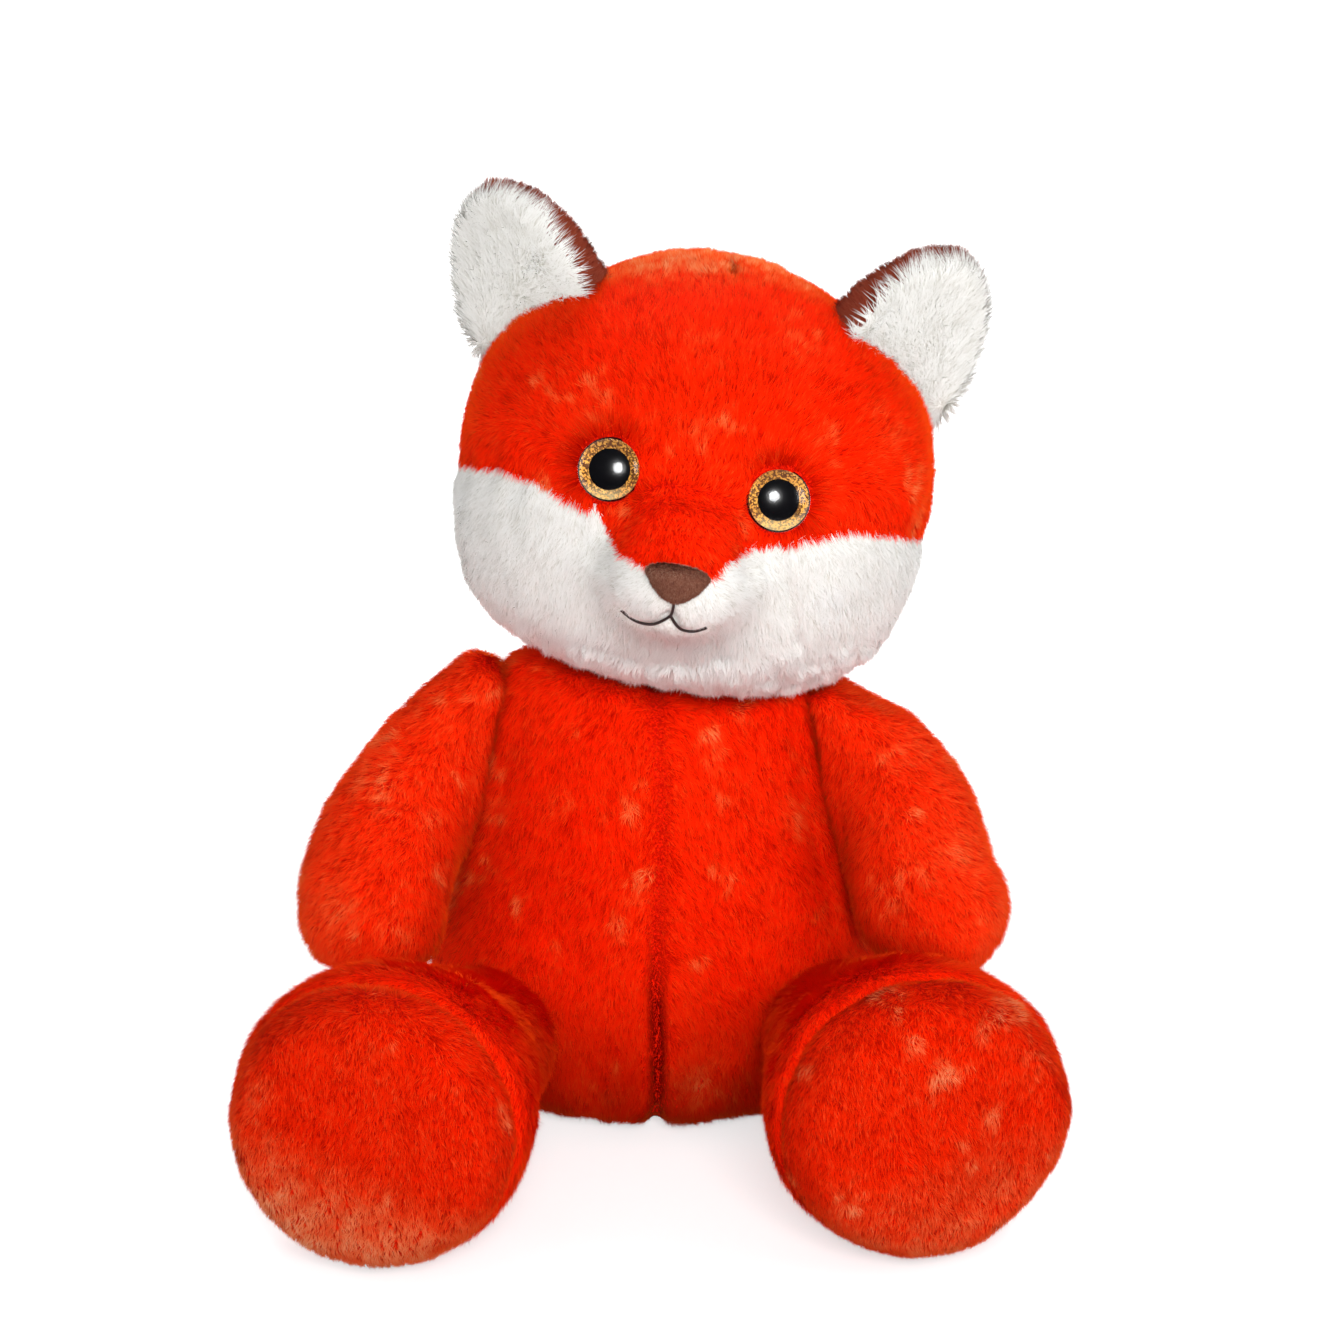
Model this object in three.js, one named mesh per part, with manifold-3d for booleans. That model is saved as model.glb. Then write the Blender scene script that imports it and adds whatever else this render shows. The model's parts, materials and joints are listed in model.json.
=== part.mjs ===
// A sitting plush fox, half a metre tall. The body, head, arms, legs and tail are each a sewn bag of
// pile fabric stuffed with fibre. The ears are two-part flaps, the soles are round pads, the nose is
// a small stuffed cap, and each plastic eye is locked behind the fabric by a washer on its shank.
// Lengths are millimetres, +Z is up, the fox looks along -Y, and its own left side is +X. The origin
// is the middle of the flat seat, on the floor.

import * as THREE from 'three';
import { mergeVertices } from 'three/addons/utils/BufferGeometryUtils.js';
import Module from 'manifold-3d';

const wasm = await Module();
wasm.setup();

const degrees = Math.PI / 180;

// Clearances
const seamGap = 0.3; // between two pieces that are sewn together or touch
const swingGap = 0.6; // between two pieces that move past each other
const cheekGap = 5; // between the head and an arm, which are both soft and bulge towards each other
const lapGap = 4.5; // between an arm and the thigh that its hand rests on
const floorSink = 0.5; // how deep the floor presses each soft form flat
const overrun = 6; // how far a cutting form runs past what it cuts

// Torso: a pear, widest low down
const torsoHeight = 262;
const torsoHalfWidth = 113;
const torsoHalfDepth = 92;
const torsoProfileShares = [
  [0, 0], [0.6, 0], [0.81, 0.015], [0.94, 0.08], [0.99, 0.18], [1, 0.32], [0.955, 0.5],
  [0.86, 0.66], [0.77, 0.8], [0.67, 0.9], [0.5, 0.97], [0.25, 1], [0, 1],
];
const torsoSides = 28;
const torsoRings = 16;

// Head: a wide ball, leaning to one side on the neck and turned a little
const headHalfWidth = 126.5;
const headHalfDepth = 107;
const headHalfHeight = 113;
const headSink = 27; // how far it settles into the top of the torso
const headForward = 10;
const headAside = 2; // from the middle of the torso to the foot of the head
const headLean = 10 * degrees;
const headTurn = -2.5 * degrees;
const headProfileShares = [
  [0, -1], [0.3, -0.98], [0.64, -0.9], [0.86, -0.73], [0.96, -0.48], [1, -0.15],
  [0.98, 0.18], [0.9, 0.45], [0.71, 0.7], [0.45, 0.89], [0.2, 0.985], [0, 1],
];
const headSides = 28;
const headRings = 16;

// Face mask: the white fabric lies below this border, as far back as the middle of the head.
// The border is given from the nose outwards, in shares of the head's half width and half height.
// The two sides were sewn a little apart: on the right the white runs up to a point by the bridge.
const maskBack = 16;
const maskBorderShares = {
  left: [
    [0, -0.215], [0.135, -0.222], [0.173, -0.16], [0.267, -0.118], [0.36, -0.085], [0.4, -0.092],
    [0.476, -0.042], [0.57, -0.02], [0.69, -0.013], [0.81, -0.032], [0.92, -0.078], [1, -0.128],
    [1.1, -0.22],
  ],
  right: [
    [0, -0.215], [0.2, -0.218], [0.255, -0.208], [0.304, -0.171], [0.345, -0.115], [0.375, -0.062],
    [0.4, -0.098], [0.446, -0.073], [0.533, -0.048], [0.64, -0.037], [0.787, -0.054], [0.92, -0.118],
    [0.985, -0.185], [1.1, -0.27],
  ],
};

// Muzzle: one stuffed swelling below the border, and a bridge that runs up between the eyes
const muzzleHalfWidth = 47;
const muzzleHalfDepth = 55;
const muzzleHalfHeight = 40;
const muzzleForwardShare = 0.794;
const muzzleDropShare = 0.29;
const bridgeHalfWidth = 33;
const bridgeHalfDepth = 46;
const bridgeHalfHeight = 19;
const bridgeForwardShare = 0.9;
const bridgeRiseShare = 0;
const bridgeSlope = 28 * degrees; // down towards the nose
const muzzleSides = 20;
const muzzleRings = 12;

// Nose: a small stuffed cap, wide above and narrow below
const noseHalfWidth = 17;
const noseHalfDepth = 9;
const noseTop = 6; // above its widest line
const noseBottom = 15.5; // below it
const noseNarrowShare = 0.3;
const noseProud = 7; // how far it stands off the muzzle
const noseDropShare = 0.222;
const noseSides = 12;
const noseRings = 8;

// Eyes: a clear dome over a glitter ring, and a black pupil whose shank goes through the fabric
const lensRadius = 16.5;
const lensHeight = 8.5;
const lensRim = 1.2;
const irisRadius = 16;
const irisThickness = 1.2;
const pupilRadius = 10;
const pupilThickness = 1.5;
const shankRadius = 3;
const shankLength = 13;
const washerRadius = 13;
const washerThickness = 2;
const washerDepth = 6; // from the floor of the eye's recess to the washer's pocket
const eyeSink = 3.4; // depth of the recess that the eye's weight and shank draw into the face
const eyeOutShare = 0.342;
const eyeRiseShare = 0.112;
const eyeTurn = 9 * degrees;
const eyeLift = 13 * degrees;
const eyeSides = 22;
const domeSteps = 5;

// Ears: two flaps of fabric sewn round the edge, a padded brown back that wraps round the rim and
// a thinner white lining. The outline is given in [half width, length] shares, from inside the head.
const earLength = 123.5;
const earHalfWidth = 49;
const earBackThickness = 15;
const earBackRounding = 5.5;
const earLiningThickness = 8;
const earLiningRounding = 4;
const earRim = 3; // the width of the back that shows round the lining
const earOutShare = 0.52;
const earRiseShare = 0.18;
const earTurn = 35 * degrees;
const earTilts = { left: 26 * degrees, right: 34 * degrees };
const earOutlineShares = [
  [0.85, 0], [0.95, 0.2], [1, 0.4], [0.94, 0.57], [0.81, 0.73], [0.62, 0.86], [0.38, 0.95], [0, 1],
];
const earOutlineSteps = 9;

// Arms: hung from the shoulder along a bent path, given as [outward, forward, up] shares of the
// drop from the shoulder to the end of the right hand. The left hand is drawn up on the thigh, and
// lies further out.
const armDrop = 138;
const armHalfWidth = 41;
const shoulderOutShare = 0.797;
const shoulderRiseShare = 0.863;
const armSwings = { left: 45 * degrees, right: 60 * degrees }; // up and out, till the head stops it
const armPathShares = [
  [-0.18, 0, 0.015], [0.015, 0.03, -0.037], [0.205, 0.13, -0.262], [0.34, 0.304, -0.492],
  [0.41, 0.464, -0.71],
];
const armOutShares = { left: 0.95, right: 1 }; // of the path's outward shares
const handOutShares = { left: 0.66, right: 0.4 };
const handForwardShare = 0.54;
const handDropShares = { left: 0.86, right: 1 };
const armProfileShares = [
  [0, 0], [0.3, 0.02], [0.52, 0.08], [0.66, 0.19], [0.85, 0.4], [0.965, 0.62], [1, 0.78],
  [0.91, 0.89], [0.65, 0.96], [0, 1],
];
const armSides = 16;
const armRings = 13;

// Legs: out from the hips and swelling to the foot, which rests on the floor. The path is given
// as [forward, up] shares of the length from the hip to the sole's seam. The fox sits with its
// right hip a little ahead.
const legLength = 226;
const footHalfWidth = 79;
const footHeightShare = 0.975;
const soleRadiusShare = 0.9;
const soleThickness = 16;
const hipOutShare = 0.743;
const hipForwardShare = 0.5;
const hipTurn = 4 * degrees;
const legTurn = -1.6 * degrees;
const legSplay = 14 * degrees;
const legSwingIn = 12 * degrees;
const legSwingOut = 5 * degrees;
const lapSpare = 5 * degrees; // how much further than the leg's swing the arms stay clear of it
const legPathShares = [
  [-0.133, -0.02], [0, 0], [0.3, 0.055], [0.6, 0.095], [0.84, 0.108], [1, 0.108],
];
const legProfileShares = [
  [0, 0], [0.26, 0.015], [0.4, 0.055], [0.5, 0.117], [0.56, 0.276], [0.66, 0.47], [0.81, 0.647],
  [0.95, 0.779], [1, 0.859], [0.99, 0.921], [0.955, 0.969], [soleRadiusShare, 1],
];
const soleProfileShares = [
  [1, 0], [1.015, 0.2], [0.97, 0.5], [0.8, 0.8], [0.45, 0.96], [0, 1],
];
const legSides = 22;
const legRings = 12;
const soleRings = 5;

// Tail: bushy, lying straight back on the floor, with a white end.
// Its path is given as shares of its length, as [back, up].
const tailLength = 106;
const tailHalfWidth = 36;
const tailRootShare = 0.9;
const tailTipShare = 0.6;
const tailSwing = 20 * degrees; // each way
const tailPathShares = [
  [-0.12, 0.2], [0, 0.16], [0.25, 0.06], [0.5, 0], [0.75, 0], [1, 0.04],
];
const tailProfileShares = [
  [0, 0], [0.35, 0.01], [0.52, 0.06], [0.68, 0.18], [0.88, 0.36], [1, 0.56], [0.93, 0.74],
  [0.7, 0.88], [0.35, 0.97], [0, 1],
];
const tailSides = 16;
const tailRings = 12;

const sweepStep = 12 * degrees; // between the places where a moving piece's neighbour is cut away

const pile = (color) => new THREE.MeshStandardMaterial({ color, roughness: 0.9, metalness: 0 });
const orangePile = pile(0xf0350a);
const solePile = pile(0xe02a08);
const whitePile = pile(0xeeece8);
const brownPile = pile(0x8a3d28);
const nosePile = pile(0x734132);
const clearPlastic = new THREE.MeshStandardMaterial({
  color: 0xf4f4f4, roughness: 0.05, metalness: 0, transparent: true, opacity: 0.35,
});
const glitterFilm = new THREE.MeshStandardMaterial({ color: 0xb8843c, roughness: 0.4, metalness: 0.5 });
const blackPlastic = new THREE.MeshStandardMaterial({ color: 0x0a0a0c, roughness: 0.15, metalness: 0 });
const palePlastic = new THREE.MeshStandardMaterial({ color: 0xe8e6df, roughness: 0.5, metalness: 0 });

// Merges the vertices that faces share and leaves out the faces that have no area, so that the
// geometry is one closed surface.
function closed(geometry) {
  geometry.deleteAttribute('normal');
  geometry.deleteAttribute('uv');
  const merged = mergeVertices(geometry);
  const corners = merged.index.array;
  const kept = [];
  for (let i = 0; i < corners.length; i += 3) {
    const [a, b, c] = corners.slice(i, i + 3);
    if (a !== b && b !== c && c !== a) kept.push(a, b, c);
  }
  merged.setIndex(kept);
  return merged;
}

function solidOf(form) {
  return new wasm.Manifold(new wasm.Mesh({
    numProp: 3,
    vertProperties: new Float32Array(form.attributes.position.array),
    triVerts: new Uint32Array(form.index.array),
  }));
}

function geometryOf(solid) {
  const mesh = solid.getMesh();
  const geometry = new THREE.BufferGeometry();
  geometry.setAttribute('position', new THREE.BufferAttribute(mesh.vertProperties, 3));
  geometry.setIndex(new THREE.BufferAttribute(mesh.triVerts, 1));
  geometry.computeVertexNormals();
  return geometry;
}

function cut(form, ...tools) {
  return geometryOf(tools.reduce((solid, tool) => solid.subtract(solidOf(tool)), solidOf(form)));
}

function joined(form, other) {
  return geometryOf(solidOf(form).add(solidOf(other)));
}

function shared(form, other) {
  return geometryOf(solidOf(form).intersect(solidOf(other)));
}

// The biggest body of a form that its cuts have left in more than one.
function mainBody(form) {
  const bodies = solidOf(form).decompose();
  return geometryOf(bodies.reduce((best, body) => (body.volume() > best.volume() ? body : best)));
}

function moved(form, matrix) {
  return form.clone().applyMatrix4(matrix);
}

// A smooth curve through a profile's points, which are [radius, height] shares.
function profilePoints(profileShares, radius, height, steps) {
  const corners = profileShares.map(([r, z]) => new THREE.Vector2(r * radius, z * height));
  return new THREE.SplineCurve(corners).getSpacedPoints(steps);
}

// An outline whose ends lie on the axis: an end that stops off it is closed flat.
function closedEnds(points) {
  const first = points[0];
  const last = points[points.length - 1];
  const outline = [...points];
  if (first.x > 0) outline.unshift(new THREE.Vector2(0, first.y));
  if (last.x > 0) outline.push(new THREE.Vector2(0, last.y));
  return outline;
}

// A closed form turned about Z from a list of [radius, height] points.
function turned(points, sides) {
  return closed(new THREE.LatheGeometry(closedEnds(points), sides).rotateX(Math.PI / 2));
}

// A stuffed form turned from a smooth profile, then flattened from front to back.
function stuffed(profileShares, halfWidth, halfDepth, height, sides, rings) {
  return turned(profilePoints(profileShares, halfWidth, height, rings), sides)
    .scale(1, halfDepth / halfWidth, 1);
}

// A stuffed form that swells and tapers along a curve, with a ring of points square to the curve
// at each step of the profile and a single point at each end. The up vector lies in the plane of
// the rings' height, which can be a share of their width.
function stuffedAlong(curve, profileShares, halfWidth, up, sides, rings, heightShare = 1) {
  const length = curve.getLength();
  const steps = closedEnds(profilePoints(profileShares, halfWidth, length, rings));
  const last = steps.length - 1;
  const places = [];
  const faces = [];
  const tangent = new THREE.Vector3();
  const across = new THREE.Vector3();
  const over = new THREE.Vector3();
  steps.forEach((step, i) => {
    const along = THREE.MathUtils.clamp(step.y / length, 0, 1);
    const centre = curve.getPointAt(along);
    if (i === 0 || i === last) {
      places.push(centre);
      return;
    }
    curve.getTangentAt(along, tangent);
    across.crossVectors(tangent, up).normalize();
    over.crossVectors(across, tangent).multiplyScalar(heightShare);
    for (let k = 0; k < sides; k += 1) {
      const angle = (2 * Math.PI * k) / sides;
      places.push(centre.clone()
        .addScaledVector(across, Math.cos(angle) * step.x)
        .addScaledVector(over, Math.sin(angle) * step.x));
    }
  });
  const ringStart = (ring) => 1 + (ring - 1) * sides;
  for (let k = 0; k < sides; k += 1) {
    const next = (k + 1) % sides;
    faces.push(0, ringStart(1) + k, ringStart(1) + next);
    for (let ring = 1; ring < last - 1; ring += 1) {
      const near = ringStart(ring);
      const far = ringStart(ring + 1);
      faces.push(near + k, far + k, far + next, near + k, far + next, near + next);
    }
    faces.push(places.length - 1, ringStart(last - 1) + next, ringStart(last - 1) + k);
  }
  const form = new THREE.BufferGeometry().setFromPoints(places);
  form.setIndex(faces);
  return form;
}

// The unit ball drawn out to an egg, with its poles at the front and back.
function egg(halfWidth, halfDepth, halfHeight, sides, rings) {
  return closed(new THREE.SphereGeometry(1, sides, rings)).scale(halfWidth, halfDepth, halfHeight);
}

function block(box) {
  const size = box.getSize(new THREE.Vector3());
  const centre = box.getCenter(new THREE.Vector3());
  return closed(new THREE.BoxGeometry(size.x, size.y, size.z)).translate(centre.x, centre.y, centre.z);
}

function boxOf(form) {
  return new THREE.Box3().setFromBufferAttribute(form.attributes.position);
}

// Cuts a form flat where it lies on the floor.
function cutFlat(form) {
  const under = boxOf(form).expandByScalar(overrun);
  under.min.z = Math.min(under.min.z, -overrun);
  under.max.z = 0;
  return cut(form, block(under));
}

// Copies of a form in every place that it takes, seen from a piece that swings about an axis.
function sweptPast(form, pivot, axis, from, to) {
  const count = Math.ceil((to - from) / sweepStep);
  const copies = [];
  for (let i = 0; i <= count; i += 1) {
    const angle = from + ((to - from) * i) / count;
    const turn = new THREE.Matrix4().makeTranslation(pivot)
      .multiply(new THREE.Matrix4().makeRotationAxis(axis, -angle))
      .multiply(new THREE.Matrix4().makeTranslation(pivot.clone().negate()));
    copies.push(moved(form, turn));
  }
  return copies;
}

const fox = new THREE.Group();
const xAxis = new THREE.Vector3(1, 0, 0);
const yAxis = new THREE.Vector3(0, 1, 0);
const zAxis = new THREE.Vector3(0, 0, 1);

// Adds a piece to a group. Its form is given in the fox's own frame.
function addPiece(group, name, form, material) {
  const local = moved(form, group.matrixWorld.clone().invert());
  const mesh = new THREE.Mesh(local, material);
  mesh.name = name;
  group.add(mesh);
}

function addGroup(parent, position, rotation = new THREE.Euler()) {
  const group = new THREE.Group();
  group.position.copy(position);
  group.rotation.copy(rotation);
  parent.add(group);
  fox.updateMatrixWorld(true);
  return group;
}

// The radius share of a profile at a height share.
function radiusShareAt(profileShares, heightShare) {
  const above = profileShares.findIndex(([, z]) => z > heightShare);
  const [r0, z0] = profileShares[above - 1];
  const [r1, z1] = profileShares[above];
  return THREE.MathUtils.mapLinear(heightShare, z0, z1, r0, r1);
}

// Head frame, with its origin in the middle of the head and +Z up the head's own axis
const headPosition = new THREE.Vector3(
  headAside + headHalfHeight * Math.sin(headLean),
  -headForward,
  torsoHeight - headSink + headHalfHeight * Math.cos(headLean),
);
const head = addGroup(fox, headPosition, new THREE.Euler(0, headLean, headTurn));

// The head's form and the round space that it turns in, each grown by a clearance
function headForm(clearance) {
  return stuffed(headProfileShares, headHalfWidth + clearance, headHalfDepth + clearance,
    headHalfHeight + clearance, headSides, headRings);
}

function headRoom(clearance) {
  return moved(stuffed(headProfileShares, headHalfWidth + clearance, headHalfWidth + clearance,
    headHalfHeight + clearance, headSides, headRings), head.matrixWorld);
}

function torsoForm(clearance) {
  return stuffed(torsoProfileShares, torsoHalfWidth + clearance, torsoHalfDepth + clearance,
    torsoHeight + 2 * clearance, torsoSides, torsoRings).translate(0, 0, -floorSink - clearance);
}

const torso = cutFlat(cut(torsoForm(0), headRoom(swingGap)));
addPiece(fox, 'torso', torso, orangePile);
const torsoRoom = torsoForm(swingGap);

// A prism over the white part of the face. Its border and its back wall are drawn in by a
// clearance.
function maskPrism(clearance) {
  const borderOn = (shares, side) => shares.map(([x, z]) => (
    new THREE.Vector2(side * x * headHalfWidth, z * headHalfHeight - clearance)));
  const border = [
    ...borderOn(maskBorderShares.right, -1).reverse(),
    ...borderOn(maskBorderShares.left, 1).slice(1),
  ];
  const chin = -headHalfHeight - overrun;
  const shape = new THREE.Shape([
    new THREE.Vector2(border[0].x, chin),
    ...border,
    new THREE.Vector2(border[border.length - 1].x, chin),
  ]);
  const depth = maskBack + headHalfDepth + 2 * muzzleHalfDepth;
  return closed(new THREE.ExtrudeGeometry(shape, { depth, bevelEnabled: false })
    .rotateX(Math.PI / 2)
    .translate(0, maskBack - clearance, 0));
}

// The frame of one eye, with its origin on the face and +Z the way that the eye looks. The side
// is +1 for the fox's own left and -1 for its right.
function eyeFrame(side) {
  const out = eyeOutShare * headHalfWidth;
  const round = radiusShareAt(headProfileShares, eyeRiseShare);
  const forward = headHalfDepth * Math.sqrt(round ** 2 - eyeOutShare ** 2);
  const place = new THREE.Vector3(side * out, -forward, eyeRiseShare * headHalfHeight);
  return addGroup(head, place, new THREE.Euler(Math.PI / 2 - eyeLift, 0, side * eyeTurn, 'ZXY'));
}

const point = (radius, height) => new THREE.Vector2(radius, height);

// The hollow that one eye needs in the face: the recess, the shank's bore and the washer's pocket
const boreRadius = shankRadius + seamGap;
const pocketFront = -eyeSink - washerDepth;
const pocketBack = pocketFront - washerThickness - 2 * seamGap;
const shankEnd = -eyeSink + seamGap - shankLength;
const socketRadius = washerRadius + seamGap;
const eyeHollow = turned([
  point(0, shankEnd - seamGap),
  point(boreRadius, shankEnd - seamGap),
  point(boreRadius, pocketBack),
  point(socketRadius, pocketBack),
  point(socketRadius, pocketFront),
  point(boreRadius, pocketFront),
  point(boreRadius, -eyeSink),
  point(lensRadius + seamGap, -eyeSink),
  point(lensRadius + seamGap, overrun),
  point(0, overrun),
], eyeSides);

const backingBack = -eyeSink + seamGap;
const pupilPost = turned([
  point(0, shankEnd),
  point(shankRadius, shankEnd),
  point(shankRadius, backingBack),
  point(pupilRadius, backingBack),
  point(pupilRadius, backingBack + pupilThickness),
  point(0, backingBack + pupilThickness),
], eyeSides);

// A flat ring that closes on itself.
function ring(innerRadius, outerRadius, back, thickness) {
  return closed(new THREE.LatheGeometry([
    point(innerRadius, back),
    point(outerRadius, back),
    point(outerRadius, back + thickness),
    point(innerRadius, back + thickness),
    point(innerRadius, back),
  ], eyeSides).rotateX(Math.PI / 2));
}

const iris = ring(pupilRadius + seamGap, irisRadius, backingBack, irisThickness);
const washer = ring(boreRadius, washerRadius, pocketBack + seamGap, washerThickness);

// The clear dome: a flat back, a short straight rim and an arc over the top
const lensBack = backingBack + pupilThickness + seamGap;
const domeRise = lensHeight - lensRim;
const domeRadius = (lensRadius ** 2 + domeRise ** 2) / (2 * domeRise);
const domeAngle = Math.asin(lensRadius / domeRadius);
const domePoints = Array.from({ length: domeSteps + 1 }, (_, i) => {
  const angle = domeAngle * (1 - i / domeSteps);
  return point(domeRadius * Math.sin(angle),
    lensBack + lensHeight - domeRadius * (1 - Math.cos(angle)));
});
const lens = turned([point(lensRadius, lensBack), ...domePoints], eyeSides);

const eyes = [['left', 1], ['right', -1]].map(([name, side]) => ({ name, frame: eyeFrame(side) }));
const eyeHollows = eyes.map((eye) => moved(eyeHollow, eye.frame.matrixWorld));

// Head skin: the orange crown and back, and the white cheeks and chin
const headSolid = moved(headForm(0), head.matrixWorld);
const mask = moved(maskPrism(0), head.matrixWorld);
const maskInset = moved(maskPrism(seamGap), head.matrixWorld);
addPiece(head, 'head_crown', cut(headSolid, mask, ...eyeHollows), orangePile);
addPiece(head, 'head_cheeks', cut(shared(headSolid, maskInset), ...eyeHollows), whitePile);

// Muzzle and bridge, seated on the face
function muzzleForm(clearance) {
  const muzzle = egg(muzzleHalfWidth + clearance, muzzleHalfDepth + clearance,
    muzzleHalfHeight + clearance, muzzleSides, muzzleRings);
  muzzle.translate(0, -muzzleForwardShare * headHalfDepth, -muzzleDropShare * headHalfHeight);
  const bridge = egg(bridgeHalfWidth + clearance, bridgeHalfDepth + clearance,
    bridgeHalfHeight + clearance, muzzleSides, muzzleRings);
  bridge.rotateX(bridgeSlope);
  bridge.translate(0, -bridgeForwardShare * headHalfDepth, bridgeRiseShare * headHalfHeight);
  return moved(joined(muzzle, bridge), head.matrixWorld);
}

const facePad = cut(muzzleForm(0), moved(headForm(seamGap), head.matrixWorld), ...eyeHollows);
addPiece(head, 'muzzle', mainBody(shared(facePad, maskInset)), whitePile);
addPiece(head, 'nose_bridge', mainBody(cut(facePad, mask)), orangePile);

// Nose, on the front of the muzzle
const noseDrop = noseDropShare * headHalfHeight;
const muzzleDrop = muzzleDropShare * headHalfHeight;
const noseForward = muzzleForwardShare * headHalfDepth
  + muzzleHalfDepth * Math.sqrt(1 - ((muzzleDrop - noseDrop) / muzzleHalfHeight) ** 2);
const noseForm = egg(1, 1, 1, noseSides, noseRings);
const nosePlaces = noseForm.attributes.position;
for (let i = 0; i < nosePlaces.count; i += 1) {
  const [x, y, z] = [nosePlaces.getX(i), nosePlaces.getY(i), nosePlaces.getZ(i)];
  const narrowed = 1 + noseNarrowShare * Math.min(z, 0);
  nosePlaces.setXYZ(i, x * noseHalfWidth * narrowed, y * noseHalfDepth,
    z * (z > 0 ? noseTop : noseBottom));
}
noseForm.translate(0, noseHalfDepth - noseProud - noseForward, -noseDrop);
addPiece(head, 'nose', mainBody(cut(moved(noseForm, head.matrixWorld), muzzleForm(seamGap))), nosePile);

for (const { name, frame } of eyes) {
  const place = (form) => moved(form, frame.matrixWorld);
  addPiece(frame, `eye_${name}_lens`, place(lens), clearPlastic);
  addPiece(frame, `eye_${name}_iris`, place(iris), glitterFilm);
  addPiece(frame, `eye_${name}_pupil_post`, place(pupilPost), blackPlastic);
  addPiece(frame, `eye_${name}_washer`, place(washer), palePlastic);
}

// Ears: two flaps that the head cuts off, the lining in front of the back
const headRoomAtRest = moved(headForm(seamGap), head.matrixWorld);

// A padded flap standing on the XY plane, with its back at y = 0 and its rim rounded.
function flap(halfWidth, length, thickness, rounding) {
  const right = profilePoints(earOutlineShares, halfWidth, length, earOutlineSteps);
  const left = right.slice(0, -1).reverse().map(({ x, y }) => point(-x, y));
  return closed(new THREE.ExtrudeGeometry(new THREE.Shape([...right, ...left]), {
    depth: thickness - 2 * rounding,
    bevelThickness: rounding,
    bevelSize: rounding,
    bevelOffset: -rounding,
    bevelSegments: 2,
  }).rotateX(Math.PI / 2).translate(0, -rounding, 0));
}

const earBack = flap(earHalfWidth, earLength, earBackThickness, earBackRounding)
  .translate(0, earBackThickness, 0);
const earLining = flap(earHalfWidth - earRim, earLength - earRim, earLiningThickness,
  earLiningRounding).translate(0, -seamGap, 0);

for (const [name, side] of [['left', 1], ['right', -1]]) {
  const place = new THREE.Vector3(side * earOutShare * headHalfWidth, 0, earRiseShare * headHalfHeight);
  const ear = addGroup(head, place, new THREE.Euler(0, side * earTilts[name], side * earTurn));
  const lining = moved(earLining, ear.matrixWorld);
  const back = moved(earBack, ear.matrixWorld);
  addPiece(ear, `ear_${name}_lining`, mainBody(cut(lining, headRoomAtRest)), whitePile);
  addPiece(ear, `ear_${name}_back`, mainBody(cut(back, headRoomAtRest)), brownPile);
}

// Legs, with their soles. The hip's height is where the foot lies on the floor.
const legPath = new THREE.CatmullRomCurve3(legPathShares.map(([forward, up]) => (
  new THREE.Vector3(0, -forward, up).multiplyScalar(legLength))));
const legEnd = legPath.getPointAt(1);
const soleTurn = new THREE.Quaternion().setFromUnitVectors(zAxis, legPath.getTangentAt(1));

function legForm(clearance) {
  return stuffedAlong(legPath, legProfileShares, footHalfWidth + clearance, zAxis, legSides,
    legRings, footHeightShare);
}

const legRooms = [];
for (const [name, side] of [['left', 1], ['right', -1]]) {
  const hip = new THREE.Vector3(
    side * hipOutShare * torsoHalfWidth,
    -hipForwardShare * torsoHalfDepth,
    0,
  ).applyAxisAngle(zAxis, hipTurn);
  hip.z = -floorSink - boxOf(legForm(0)).min.z;
  const leg = addGroup(fox, hip, new THREE.Euler(0, 0, side * legSplay + legTurn));
  const limits = side > 0 ? [-legSwingIn, legSwingOut] : [-legSwingOut, legSwingIn];
  const bag = cut(moved(legForm(0), leg.matrixWorld), ...sweptPast(torsoRoom, hip, zAxis, ...limits));
  addPiece(leg, `leg_${name}`, mainBody(cutFlat(bag)), orangePile);

  const soleRadius = soleRadiusShare * footHalfWidth;
  const sole = stuffed(soleProfileShares, soleRadius, soleRadius * footHeightShare, soleThickness,
    legSides, soleRings).translate(0, 0, seamGap);
  const foot = addGroup(leg, legEnd, new THREE.Euler().setFromQuaternion(soleTurn));
  addPiece(foot, `foot_${name}_sole`, cutFlat(moved(sole, foot.matrixWorld)), solePile);
  legRooms.push(...sweptPast(moved(legForm(lapGap), leg.matrixWorld), hip, zAxis,
    -limits[1] - lapSpare, lapSpare - limits[0]));
}

// Arms, cut by the torso and the head all the way along their swing
for (const [name, side] of [['left', 1], ['right', -1]]) {
  const shoulder = new THREE.Vector3(
    side * shoulderOutShare * torsoHalfWidth,
    0,
    shoulderRiseShare * torsoHeight,
  );
  const arm = addGroup(fox, shoulder);
  const pathShares = [
    ...armPathShares.map(([out, forward, up]) => [out * armOutShares[name], forward, up]),
    [handOutShares[name], handForwardShare, -handDropShares[name]],
  ];
  const path = new THREE.CatmullRomCurve3(pathShares.map(([out, forward, up]) => (
    new THREE.Vector3(side * out, -forward, up).multiplyScalar(armDrop))));
  const form = moved(stuffedAlong(path, armProfileShares, armHalfWidth, yAxis, armSides, armRings),
    arm.matrixWorld);
  const limits = side > 0 ? [-armSwings.left, 0] : [0, armSwings.right];
  const bag = cut(form,
    ...sweptPast(torsoRoom, shoulder, yAxis, ...limits),
    ...sweptPast(headRoom(cheekGap), shoulder, yAxis, ...limits),
    ...legRooms);
  addPiece(arm, `arm_${name}`, mainBody(bag), orangePile);
}

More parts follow.
